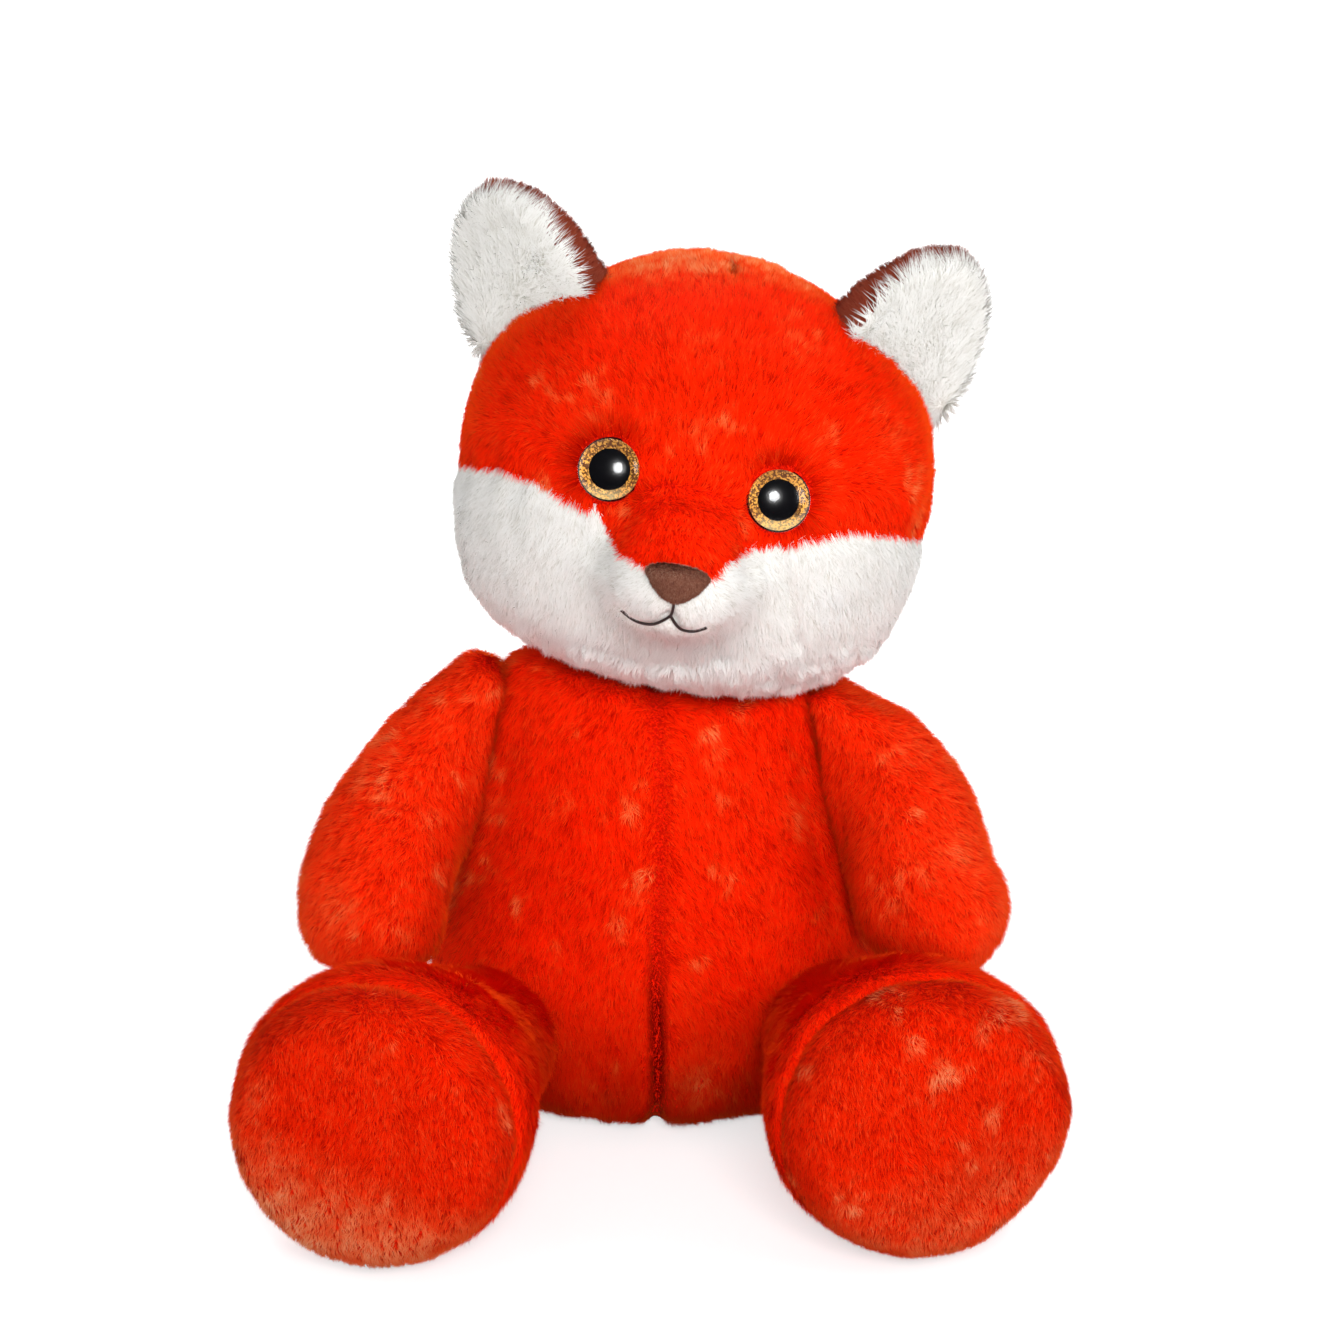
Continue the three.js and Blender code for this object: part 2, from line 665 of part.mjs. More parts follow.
// Tail, lying on the floor behind
const tailPath = new THREE.CatmullRomCurve3(tailPathShares.map(([back, up]) => (
  new THREE.Vector3(0, back, up).multiplyScalar(tailLength))));
const tailForm = stuffedAlong(tailPath, tailProfileShares, tailHalfWidth, xAxis, tailSides, tailRings);
const tailRoot = new THREE.Vector3(0, tailRootShare * torsoHalfDepth, -floorSink - boxOf(tailForm).min.z);
const tail = addGroup(fox, tailRoot);
const tailBag = cut(cutFlat(moved(tailForm, tail.matrixWorld)),
  ...sweptPast(torsoRoom, tailRoot, zAxis, -tailSwing, tailSwing));
const tipRoom = boxOf(tailBag).expandByScalar(overrun);
tipRoom.min.y = tailRoot.y + tailTipShare * tailLength;
const tipBox = tipRoom.clone();
tipBox.min.y += seamGap;
addPiece(tail, 'tail', mainBody(cut(tailBag, block(tipRoom))), orangePile);
addPiece(tail, 'tail_tip', mainBody(shared(tailBag, block(tipBox))), whitePile);

export default fox;
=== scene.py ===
# %% [markdown]
# # A sitting plush fox
# The toy is a set of stuffed bags of orange and white pile fabric, with two plastic eyes, a velvet
# nose and a sewn mouth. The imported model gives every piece's place and size in metres, +Z up, with
# the fox looking along -Y. This script gives it its fabric: each bag becomes a smooth swollen skin
# with seams pressed into it, and a pile of fine blades grows on the skin.

import json
import math

import bmesh
import bpy
import numpy as np
from mathutils import Matrix, Vector, noise
from mathutils.bvhtree import BVHTree


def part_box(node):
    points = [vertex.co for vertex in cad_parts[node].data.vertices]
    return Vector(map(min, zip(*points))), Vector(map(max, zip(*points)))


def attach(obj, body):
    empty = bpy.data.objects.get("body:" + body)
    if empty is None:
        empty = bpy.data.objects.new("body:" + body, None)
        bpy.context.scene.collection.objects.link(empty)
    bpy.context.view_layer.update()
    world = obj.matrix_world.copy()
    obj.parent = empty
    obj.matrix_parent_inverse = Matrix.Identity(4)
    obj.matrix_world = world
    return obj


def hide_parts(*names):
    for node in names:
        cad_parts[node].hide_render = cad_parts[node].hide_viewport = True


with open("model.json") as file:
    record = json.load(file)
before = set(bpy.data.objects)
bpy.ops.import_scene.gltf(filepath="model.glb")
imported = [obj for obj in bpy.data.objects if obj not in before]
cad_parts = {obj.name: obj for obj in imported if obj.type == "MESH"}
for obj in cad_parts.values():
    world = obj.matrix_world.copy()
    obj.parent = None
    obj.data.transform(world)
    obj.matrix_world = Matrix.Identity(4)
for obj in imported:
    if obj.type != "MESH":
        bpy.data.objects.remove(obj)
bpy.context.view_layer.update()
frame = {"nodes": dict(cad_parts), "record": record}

MM = 0.001
WELD = 0.001 * MM
SLOTS = {part["node"]: part["material_slot"] for part in frame["record"]["subparts"]}
BODIES = {
    node: body
    for body, nodes in frame["record"]["behaviour"]["bodies"].items()
    for node in nodes
}
SIDES = {"left": 1, "right": -1}
SEED = 20
# The noise module takes its directions from the time unless it has a seed as well.
draws = np.random.default_rng(SEED)
noise.seed_set(SEED)

# %% [markdown]
# ## Camera
# The photograph shows the feet larger than the seat, which a far camera could not do. A focal length
# of 4750 pixels at 2.5 m, from 15 degrees above, gives the same picture. A pixel of the photograph
# is then a ray, which is used below to put the mouth and some seams where they are seen.

# %% Place the camera
PHOTO_SIZE = 1320
FOCAL_PIXELS = 4750
SENSOR_WIDTH = 36
CAMERA_DISTANCE = 2.5
CAMERA_RISE = math.radians(15)
TARGET = Vector((0.0026, 0, 0.24))

ahead = Vector((0, math.cos(CAMERA_RISE), -math.sin(CAMERA_RISE)))
camera_data = bpy.data.cameras.new("camera")
camera_data.sensor_width = SENSOR_WIDTH
camera_data.lens = SENSOR_WIDTH * FOCAL_PIXELS / PHOTO_SIZE
camera = bpy.data.objects.new("camera", camera_data)
camera.location = TARGET - ahead * CAMERA_DISTANCE
camera.rotation_euler = ahead.to_track_quat("-Z", "Y").to_euler()
bpy.context.scene.collection.objects.link(camera)
bpy.context.scene.camera = camera
print("lens:", round(camera_data.lens, 1), "mm")


def ray_through(pixel):
    """The direction from the camera through a pixel of the photograph."""
    across = (pixel[0] - PHOTO_SIZE / 2) / FOCAL_PIXELS
    down = (pixel[1] - PHOTO_SIZE / 2) / FOCAL_PIXELS
    return (camera.rotation_euler.to_matrix() @ Vector((across, -down, -1))).normalized()


# %% [markdown]
# ## Shader maths
# A finish is easier to read as a formula than as a web of nodes. One class wraps an output socket
# and adds a Math node for each operator. Another adds any other node from its type, its settings
# and its sockets.


# %% Write nodes as expressions
class Socket:
    """An output socket of a node tree. Python's operators on it add Math nodes."""

    def __init__(self, tree, output):
        self.tree = tree
        self.output = output

    def __add__(self, other):
        return self.tree.maths("ADD", self, other)

    def __rsub__(self, other):
        return self.tree.maths("SUBTRACT", other, self)

    def __mul__(self, other):
        return self.tree.maths("MULTIPLY", self, other)

    __radd__ = __add__
    __rmul__ = __mul__


class Tree:
    """The node tree of a material or a world."""

    def __init__(self, owner):
        owner.use_nodes = True
        self.nodes = owner.node_tree.nodes
        self.links = owner.node_tree.links

    def feed(self, target, value):
        if isinstance(value, Socket):
            self.links.new(value.output, target)
        else:
            target.default_value = value

    def add(self, kind, settings=None, sockets=None, output=0):
        node = self.nodes.new(kind)
        for name, value in (settings or {}).items():
            setattr(node, name, value)
        for name, value in (sockets or {}).items():
            self.feed(node.inputs[name], value)
        return Socket(self, node.outputs[output])

    def maths(self, operation, first, second):
        return self.add("ShaderNodeMath", {"operation": operation}, {0: first, 1: second})

    def mix(self, factor, first, second):
        """A colour, from the first at 0 to the second at 1."""
        return self.add("ShaderNodeMix", {"data_type": "RGBA"}, {0: factor, 6: first, 7: second}, 2)

    def step(self, value, low, high):
        """A smooth step, 0 below low and 1 above high."""
        return self.add("ShaderNodeMapRange", {"interpolation_type": "SMOOTHSTEP"},
                        {"Value": value, "From Min": low, "From Max": high})

    def attribute(self, name):
        return self.add("ShaderNodeAttribute", {"attribute_name": name}, output="Fac")

    def pattern(self, kind, size, output, **sockets):
        """A texture on Object coordinates, whose features are of a size in metres."""
        place = self.add("ShaderNodeTexCoord", output="Object")
        return self.add(kind, sockets={"Vector": place, "Scale": 1 / size, **sockets}, output=output)

    def clouds(self, size, detail=2.0):
        return self.pattern("ShaderNodeTexNoise", size, "Fac", Detail=detail)


class Finish(Tree):
    """A material with one Principled shader, whose plain values are set on its sockets."""

    def __init__(self, name, **values):
        self.material = bpy.data.materials.new(name)
        super().__init__(self.material)
        self.shader = self.nodes["Principled BSDF"]
        for socket, value in values.items():
            self.shader.inputs[socket.replace("_", " ")].default_value = value

    def link(self, socket, value):
        self.feed(self.shader.inputs[socket], value)

    def bump(self, height, distance):
        self.link("Normal", self.add("ShaderNodeBump", sockets={"Height": height, "Distance": distance}))


# %% [markdown]
# ## Pile and skin finishes
# Pile fabric looks deep in colour between its hairs and paler where they stand on end and show
# their tips. Both are painted here: a blade is deep at its root, which is painted shade between the
# hairs, and paler towards its tip, which is painted sheen where the pile is ruffled and a random
# tone elsewhere. An image of fur would be flat, so the colour follows the blades themselves. Each
# blade carries four numbers: how far along it a point is, a random number of its own, how ruffled
# the pile is there, which sets its painted sheen, and how much painted shade it has, as in creases,
# round the eyes, low on the body and where bags touch. The highlight is weak and tinted, because
# white gloss would wash out such a red orange, and a little sheen lights the rim.

# %% Make the pile finishes
BLOTCH_SIZE = 55 * MM
MOTTLE_SIZE = 14 * MM
FIBRE_SIZE = 1.2 * MM
FIBRE_DEPTH = 0.8 * MM
STRAND_SHADE = 1.3
MOTTLE_SHADE = 0.4
RUFFLE_SHEEN_WEIGHT = 0.9
BLOTCH_WEAR = 0.04
STRAND_WEAR = 0.22
GLOW_GAIN = 1.6
PAINTED_SHADE_LEVEL = 0.2


def pile_finish(name, deep, full, glow, pale, sheen, sheen_weight):
    """A finish deep at a blade's root as painted shade and full at its tip, paled by painted sheen and
    random tone, and darkened where painted shade is marked.
    """
    finish = Finish(name, Roughness=0.75, Specular_IOR_Level=0.02, Specular_Tint=full,
                    Sheen_Weight=sheen_weight, Sheen_Roughness=0.3, Sheen_Tint=sheen)
    along = finish.attribute("along")
    strand = finish.attribute("strand")
    ruffle_sheen = finish.attribute("ruffle_sheen")
    blotch = finish.step(finish.clouds(BLOTCH_SIZE), 0.35, 0.7)
    mottle = finish.step(finish.clouds(MOTTLE_SIZE, 3.0), 0.3, 0.7)
    # The deep colour towards the root is painted shade between the hairs; strand and mottle vary it at
    # random.
    shade = along + STRAND_SHADE * strand + MOTTLE_SHADE * mottle
    body = finish.mix(finish.step(shade, 0.2, 1.5), deep, full)
    # Paling towards the tips: painted sheen where the pile is ruffled, and random tone from blotches and
    # single strands.
    sheen_and_wear = RUFFLE_SHEEN_WEIGHT * ruffle_sheen + BLOTCH_WEAR * blotch + STRAND_WEAR * finish.step(strand, 0.55, 0.95)
    tip_sheen_and_wear = finish.step(along, 0.0, 0.6) * sheen_and_wear
    glowing = finish.mix(finish.maths("MINIMUM", GLOW_GAIN * tip_sheen_and_wear, 1.0), body, glow)
    sheened_and_worn = finish.mix(finish.maths("MINIMUM", tip_sheen_and_wear * tip_sheen_and_wear, 1.0), glowing, pale)
    # Painted shade: a dark copy of the deep colour, used where a blade is marked as shaded.
    shade_colour = tuple(PAINTED_SHADE_LEVEL * level for level in deep[:3]) + (1,)
    finish.link("Base Color", finish.mix(finish.attribute("painted_shade"), sheened_and_worn, shade_colour))
    return finish.material


def skin_finish(name, deep, full):
    """A finish for the backing, mottled with matted fibres between its full colour and a deep one that is
    painted shade.
    """
    finish = Finish(name, Roughness=0.95, Specular_IOR_Level=0.05)
    fibres = finish.clouds(FIBRE_SIZE, 3.0)
    # The deep colour is painted shade where the pile parts.
    finish.link("Base Color", finish.mix(finish.step(fibres, 0.3, 0.75), deep, full))
    finish.bump(fibres, FIBRE_DEPTH)
    return finish.material


# In each set, deep is painted shade at the roots, and glow and pale are painted sheen mixed with random
# tone.
COLOURS = {
    "orange_pile": {"deep": (0.46, 0.002, 0.0001, 1), "full": (1.0, 0.015, 0.0003, 1),
                    "glow": (1.0, 0.085, 0.006, 1), "pale": (1.0, 0.34, 0.13, 1)},
    "sole_pile": {"deep": (0.30, 0.002, 0.0001, 1), "full": (0.80, 0.013, 0.0003, 1),
                  "glow": (0.82, 0.090, 0.010, 1), "pale": (0.85, 0.34, 0.17, 1)},
    "white_pile": {"deep": (0.68, 0.66, 0.60, 1), "full": (0.91, 0.90, 0.87, 1),
                   "glow": (0.93, 0.925, 0.90, 1), "pale": (0.95, 0.945, 0.93, 1)},
    "brown_pile": {"deep": (0.12, 0.014, 0.007, 1), "full": (0.26, 0.045, 0.024, 1),
                   "glow": (0.38, 0.09, 0.050, 1), "pale": (0.50, 0.17, 0.10, 1)},
    "nose_pile": {"deep": (0.10, 0.034, 0.022, 1), "full": (0.20, 0.075, 0.047, 1),
                  "glow": (0.31, 0.15, 0.10, 1), "pale": (0.48, 0.29, 0.21, 1)},
}
SHEENS = {
    "orange_pile": (0.5, (1.0, 0.11, 0.006, 1)), "sole_pile": (0.35, (1.0, 0.11, 0.006, 1)),
    "white_pile": (0.1, (1, 1, 1, 1)), "brown_pile": (0.3, (0.5, 0.15, 0.08, 1)),
    "nose_pile": (0.3, (0.45, 0.25, 0.18, 1)),
}
PILES = {}
SKINS = {}
for slot, colours in COLOURS.items():
    sheen_weight, sheen = SHEENS[slot]
    PILES[slot] = pile_finish(slot, sheen=sheen, sheen_weight=sheen_weight, **colours)
    SKINS[slot] = skin_finish(slot.replace("pile", "skin"), colours["deep"], colours["full"])
print("finishes:", sorted(COLOURS))

# %% [markdown]
# ## Bags
# A stuffed bag could be modelled by hand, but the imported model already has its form, in facets and
# in several nodes that meet at seams. A voxel remesh joins the nodes of one bag into a single even
# skin, and a smoothing removes the facets. The skin starts a little smaller than the bag, because
# the filling then swells it and pile grows on it.


# %% Remesh the bags
def points_of(mesh):
    """A mesh's points as rows of an array."""
    places = np.empty(len(mesh.vertices) * 3)
    mesh.vertices.foreach_get("co", places)
    return places.reshape(-1, 3)


def new_piece(name, form, finish=None):
    """A mesh object made from a bmesh, which is freed."""
    mesh = bpy.data.meshes.new(name)
    form.to_mesh(mesh)
    form.free()
    if finish:
        mesh.materials.append(finish)
    piece = bpy.data.objects.new(name, mesh)
    bpy.context.scene.collection.objects.link(piece)
    return piece


def settle(piece):
    """Applies a piece's modifiers to its mesh."""
    shown = piece.evaluated_get(bpy.context.evaluated_depsgraph_get())
    mesh = bpy.data.meshes.new_from_object(shown)
    piece.modifiers.clear()
    piece.data = mesh


def start_bag(nodes, voxel, rounds, inset):
    """One even skin round some nodes, smoothed in rounds and drawn in by the inset."""
    form = bmesh.new()
    for node in nodes:
        form.from_mesh(frame["nodes"][node].data)
    bmesh.ops.remove_doubles(form, verts=form.verts, dist=WELD)
    piece = new_piece(f"{nodes[0]}_bag", form)
    remesh = piece.modifiers.new("remesh", "REMESH")
    remesh.mode = "VOXEL"
    remesh.voxel_size = voxel
    smooth = piece.modifiers.new("smooth", "SMOOTH")
    smooth.iterations = rounds
    shrink = piece.modifiers.new("shrink", "DISPLACE")
    shrink.strength = -inset
    shrink.mid_level = 0
    settle(piece)
    return piece


EYE_NODES = [f"eye_{side}_{part}" for side in SIDES for part in ("iris", "pupil_post", "washer")]
FORMS = {
    "torso": ["torso"],
    "head": ["head_crown", "head_cheeks", "muzzle", "nose_bridge"],
    "ear_left": ["ear_left_lining", "ear_left_back"],
    "ear_right": ["ear_right_lining", "ear_right_back"],
    "arm_left": ["arm_left"],
    "arm_right": ["arm_right"],
    "leg_left": ["leg_left", "foot_left_sole"],
    "leg_right": ["leg_right", "foot_right_sole"],
    "tail": ["tail", "tail_tip"],
    "nose": ["nose"],
}
VOXELS = {"head": 4 * MM, "ear_left": 2.5 * MM, "ear_right": 2.5 * MM, "nose": 0.9 * MM}
USUAL_VOXEL = 5 * MM
SMOOTHING = {"head": 8, "ear_left": 8, "ear_right": 8, "nose": 6}
USUAL_SMOOTHING = 12
INSETS = {"torso": 4.5 * MM, "arm_left": 3 * MM, "arm_right": 3 * MM, "tail": 2.5 * MM,
          "ear_left": 1.5 * MM, "ear_right": 1.5 * MM, "nose": 0.2 * MM}
USUAL_INSET = 4 * MM

bags = {}
for name, nodes in FORMS.items():
    filled = [*nodes, *EYE_NODES] if name == "head" else nodes
    bags[name] = start_bag(filled, VOXELS.get(name, USUAL_VOXEL), SMOOTHING.get(name, USUAL_SMOOTHING),
                           INSETS.get(name, USUAL_INSET))
    print(name, len(bags[name].data.vertices), "points")

# %% [markdown]
# ## Filling
# A real bag is tight because fibre pushes its skin out between the seams. Blender's cloth does the
# same with a pressure inside a closed mesh. Gravity is off, the points on the seams between two
# fabrics are pinned, and no point may move further than the room that was left for it. It runs on
# the body, the head, the limbs and the tail at once. The ears and the nose are firm and flat, so
# they go without.

# %% Swell the bags with cloth pressure
SWELL_FRAMES = 20
CLOTH_QUALITY = 4
PRESSURE = 4.0
EXTRA_CLOTH = -0.005
ROOM = 4 * MM
PIN_WIDTH = 5 * MM
DRAWN_OUT = {"foot_left_sole": 18 * MM, "foot_right_sole": 18 * MM}
SWELLING = [name for name in FORMS if name not in ("nose", "ear_left", "ear_right")]


def surface_of(mesh):
    """A search tree that finds the nearest point of a mesh."""
    return BVHTree.FromPolygons([v.co for v in mesh.vertices], [p.vertices for p in mesh.polygons])


def reach_of(places, nodes):
    """How far each place is from each node's surface. A rim drawn outwards counts as nearer."""
    trees = [surface_of(frame["nodes"][node].data) for node in nodes]
    reach = np.array([[tree.find_nearest(place)[3] for tree in trees] for place in places])
    return reach - [DRAWN_OUT.get(node, 0) for node in nodes]


def pin_seams(piece, nodes):
    """Holds the points where two nodes are about equally near."""
    reach = np.sort(reach_of(points_of(piece.data), nodes), axis=1)
    sewn = np.flatnonzero(reach[:, 1] - reach[:, 0] < PIN_WIDTH)
    piece.vertex_groups.new(name="sewn").add(sewn.tolist(), 1.0, "REPLACE")
    piece.modifiers["cloth"].settings.vertex_group_mass = "sewn"


def swell(names):
    """Runs the cloth on some bags and applies the result, within the room that each has."""
    for name in names:
        cloth = bags[name].modifiers.new("cloth", "CLOTH")
        cloth.settings.quality = CLOTH_QUALITY
        cloth.settings.use_pressure = True
        cloth.settings.uniform_pressure_force = PRESSURE
        cloth.settings.shrink_min = EXTRA_CLOTH
        cloth.settings.effector_weights.gravity = 0
        cloth.point_cache.frame_start = 1
        cloth.point_cache.frame_end = SWELL_FRAMES
        if len(FORMS[name]) > 1:
            pin_seams(bags[name], FORMS[name])
    for number in range(1, SWELL_FRAMES + 1):
        bpy.context.scene.frame_set(number)
    for name in names:
        before = points_of(bags[name].data)
        settle(bags[name])
        move = points_of(bags[name].data) - before
        distance = np.linalg.norm(move, axis=1)
        move *= np.minimum(1, ROOM / np.maximum(distance, WELD))[:, None]
        bags[name].data.vertices.foreach_set("co", (before + move).ravel())
        print(name, "moved", (distance.mean() / MM).round(2), "mm, at most", (distance.max() / MM).round(2))
    bpy.context.scene.frame_set(1)


swell(SWELLING)

# %% [markdown]
# ## Skins
# Everything that the pile does is worked out at the skin's points: which node a point belongs to,
# how far it is from a seam, which way the pile is brushed, how long it is, how ruffled, which also
# sets its painted sheen, and how much painted shade it has. A seam is pressed in along a line, with
# shorter pile on it. The fields are plain arrays, so that hundreds of thousands of blades can read
# them at once.

# %% Measure along a skin
SHORTEST_VECTOR = 1e-9


def unit(vectors):
    return vectors / np.maximum(np.linalg.norm(vectors, axis=1, keepdims=True), SHORTEST_VECTOR)


def near(distance, size):
    """A smooth weight: 1 at no distance, a third at the size, and next to nothing at twice that."""
    return np.exp(-((distance / size) ** 2))


def distance_to_path(places, path):
    """How far each place is from a path of points."""
    nearest = np.full(len(places), np.inf)
    for start, end in zip(path, path[1:]):
        start, end = np.array(start), np.array(end)
        span = end - start
        share = ((places - start) @ span / max(span @ span, WELD**2)).clip(0, 1)
        nearest = np.minimum(nearest, np.linalg.norm(places - start - share[:, None] * span, axis=1))
    return nearest


# %% Turn the bags into skins
SEAM_REACH = 6 * MM
PATCH_SIZE = 5 * MM


class Skin:
    """A bag's skin and what its pile does at each point."""

    def __init__(self, name):
        self.name = name
        self.nodes = FORMS[name]
        bag = bags[name]
        subdivide = bag.modifiers.new("subdivide", "SUBSURF")
        subdivide.levels = subdivide.render_levels = 1
        settle(bag)
        mesh = bag.data
        mesh.calc_loop_triangles()
        self.places = points_of(mesh)
        self.triangles = np.empty(len(mesh.loop_triangles) * 3, int)
        mesh.loop_triangles.foreach_get("vertices", self.triangles)
        self.triangles = self.triangles.reshape(-1, 3)
        bpy.data.objects.remove(bag)
        self.renew_normals()
        self.reach = reach_of(self.places, self.nodes)
        count = len(self.places)
        self.length = np.ones(count)
        self.ruffle_sheen = np.zeros(count)
        self.painted_shade = np.zeros(count)
        self.comb = np.zeros((count, 3))

    def renew_normals(self):
        a, b, c = (self.places[self.triangles[:, i]] for i in range(3))
        across = np.cross(b - a, c - a)
        corners, weights = self.triangles.ravel(), np.repeat(across, 3, axis=0)
        total = [np.bincount(corners, weights[:, axis], len(self.places)) for axis in range(3)]
        self.normals = unit(np.stack(total, axis=1))

    def lumps(self, size):
        """Smooth noise over the skin, from about -1 to 1."""
        return np.array([noise.noise(Vector(p) / size) for p in self.places])

    def swirls(self, size):
        """Smooth directions over the skin, for pile that strays in patches."""
        return np.array([noise.noise_vector(Vector(p) / size) for p in self.places])

    def surface(self):
        """A search tree of the skin as it is now."""
        return BVHTree.FromPolygons(self.places.tolist(), self.triangles.tolist())

    def seen_at(self, pixels):
        """The points of the skin at some pixels of the photograph, without those beside it."""
        surface = self.surface()
        hits = [surface.ray_cast(camera.location, ray_through(pixel))[0] for pixel in pixels]
        seen = [point for point in hits if point]
        print(self.name, "is seen at", len(seen), "of", len(pixels), "pixels")
        return seen

    def press(self, depth):
        """Moves the skin inwards by a depth at each point."""
        self.places = self.places - self.normals * depth[:, None]
        self.renew_normals()

    def soften(self, weight, rounds):
        """Evens the skin out where the weight is near 1."""
        a, b, c = self.triangles.T
        starts, ends = np.concatenate([a, b, c, b, c, a]), np.concatenate([b, c, a, a, b, c])
        degree = np.bincount(starts, minlength=len(self.places))
        for _ in range(rounds):
            total = [np.bincount(starts, self.places[ends, axis], len(degree)) for axis in range(3)]
            self.places += (np.stack(total, axis=1) / degree[:, None] - self.places) * weight[:, None]
        self.renew_normals()

    def brush(self, vectors):
        """Sets the way the pile is brushed."""
        inward = (vectors * self.normals).sum(1, keepdims=True)
        self.comb = unit(vectors - self.normals * inward)

    def border(self, first, second):
        """How far each point is from the seam between two of the nodes."""
        apart = np.abs(self.reach[:, first] - self.reach[:, second])
        away = self.reach[:, [first, second]].min(1) - USUAL_INSET - SEAM_REACH
        return np.maximum(apart, away)

    def sew(self, distance, depth, width, shorter=0.5, trim=1.0):
        """Presses a seam in and shortens the pile on it, trim times as wide."""
        self.press(near(distance, width) * depth)
        self.length = np.minimum(self.length, 1 - shorter * near(distance / width, trim))

    def ruffle_with_sheen_at(self, pixel, size, strength):
        """Ruffles the pile round the point that is seen at a pixel, which paints sheen there too."""
        spot = near(distance_to_path(self.places, self.seen_at([pixel]) * 2), size)
        patches = (0.5 + 1.5 * self.lumps(PATCH_SIZE)).clip(0)
        self.ruffle_sheen = np.clip(self.ruffle_sheen + strength * spot * patches, 0, 1)

    def triangles_of(self, index):
        """The triangles that belong to one of the nodes."""
        owners = self.reach.argmin(1)[self.triangles]
        return self.triangles[np.median(owners, axis=1) == index]


skins = {name: Skin(name) for name in FORMS}
print("skin triangles:", sum(len(skin.triangles) for skin in skins.values()))

# %% [markdown]
# ## Where bags touch
# The arms and the tail press on the body, and no light shows between them. A cloth simulation with
# collisions could find that shape, but slowly, and not the same each time. Here the skins bulge by a
# plain rule instead: broadly at the hip and the shoulder, and then each towards the other wherever
# they are near. Pile that is shut in like that lies in shade, so painted shade is put on it there.

# %% Let the arms, the tail and the body press on each other
CONTACT = 16 * MM
CONTACT_GAP = 1 * MM
FULL_BULGE_SHARE = 0.6
TOUCH_REACH = 8 * MM
TOUCH_SHADE = 0.6
# Each bulge is a place across and up in metres, the same on both sides, with a size and a height.
BULGES = {
    "torso": [((0.105, 0.080), 42 * MM, 9 * MM), ((0.078, 0.232), 22 * MM, 7 * MM)],
    "arm_left": [((0.112, 0.085), 26 * MM, 9 * MM), ((0.086, 0.236), 20 * MM, 5 * MM)],
    "arm_right": [((0.112, 0.085), 26 * MM, 9 * MM), ((0.086, 0.236), 20 * MM, 5 * MM)],
}


def close_gap(first, second):
    """Bulges two skins towards each other where they are near, till they almost touch."""
    surfaces = {first: second.surface(), second: first.surface()}
    for skin, other in surfaces.items():
        found = [other.find_nearest(place, CONTACT) for place in skin.places]
        gap = np.array([hit[3] if hit[0] else CONTACT for hit in found])
        toward = np.array([hit[0] or place for hit, place in zip(found, skin.places)]) - skin.places
        facing = (unit(toward) * skin.normals).sum(1).clip(0, 1)
        fade = np.interp(gap, [FULL_BULGE_SHARE * CONTACT, CONTACT], [1, 0])
        bulge = (gap - CONTACT_GAP).clip(0) / 2 * facing * fade
        # Where the bags nearly touch, the pile gets painted shade.
        touching = facing * near((gap - CONTACT_GAP).clip(0), TOUCH_REACH)
        skin.painted_shade = np.maximum(skin.painted_shade, TOUCH_SHADE * touching)
        skin.press(-bulge)
        print(skin.name, "bulges at most", (bulge.max() / MM).round(1), "mm")


for name, bulges in BULGES.items():
    for spot, size, height in bulges:
        aside = np.linalg.norm(np.abs(skins[name].places[:, [0, 2]]) - spot, axis=1)
        skins[name].press(-height * near(aside, size))
for name in ("arm_left", "arm_right", "tail"):
    close_gap(skins["torso"], skins[name])

# %% [markdown]
# ## Lumps and ruffled patches
# Fibre filling is never quite even, and pile that was handled stands up in patches. Smooth noise
# gives both. Ruffled pile is also painted paler, which is painted sheen. The patches that stand out
# in the photograph are listed by their pixels, each with a size in millimetres and a strength.

# %% Give the skins soft lumps and ruffled patches
LUMPS = ((48 * MM, 1.8 * MM), (17 * MM, 0.7 * MM))
RUFFLE_SIZE = 24 * MM
RUFFLE_GAIN = 1.7
RUFFLE_START = 0.68
MOST_RUFFLED = 0.65
RUFFLED_SHEEN_SPOTS = {
    "arm_right": [((385, 778), 12, 0.5), ((345, 905), 14, 0.25), ((430, 815), 8, 0.35),
                  ((400, 925), 10, 0.3)],
    "arm_left": [((905, 745), 10, 0.35), ((950, 850), 14, 0.25), ((885, 900), 9, 0.35)],
    "torso": [((498, 812), 9, 0.45), ((640, 885), 8, 0.4), ((795, 812), 11, 0.5), ((700, 1080), 16, 0.4),
              ((600, 1090), 12, 0.3), ((560, 800), 8, 0.3)],
    # On the head, the strong spots along the top of the crown are painted rim light.
    "head": [((560, 300), 14, 0.35), ((600, 430), 9, 0.3), ((800, 350), 12, 0.25), ((880, 430), 12, 0.3),
             ((700, 262), 24, 1.0), ((760, 268), 20, 1.0), ((640, 270), 18, 0.9), ((810, 295), 12, 0.5)],
    "leg_right": [((255, 1090), 10, 0.3), ((330, 1250), 16, 0.5), ((270, 1190), 14, 0.5)],
    "leg_left": [((1035, 1060), 10, 0.3), ((930, 1240), 10, 0.5), ((850, 1190), 10, 0.3)],
}

for name, skin in skins.items():
    if name != "nose":
        for size, depth in LUMPS:
            skin.press(skin.lumps(size) * depth)
        ruffled = skin.lumps(RUFFLE_SIZE) + 0.5 * skin.lumps(RUFFLE_SIZE / 3)
        skin.ruffle_sheen = np.clip(ruffled * RUFFLE_GAIN - RUFFLE_START, 0, MOST_RUFFLED)
for name, spots in RUFFLED_SHEEN_SPOTS.items():
    for pixel, size, strength in spots:
        skins[name].ruffle_with_sheen_at(pixel, size * MM, strength)

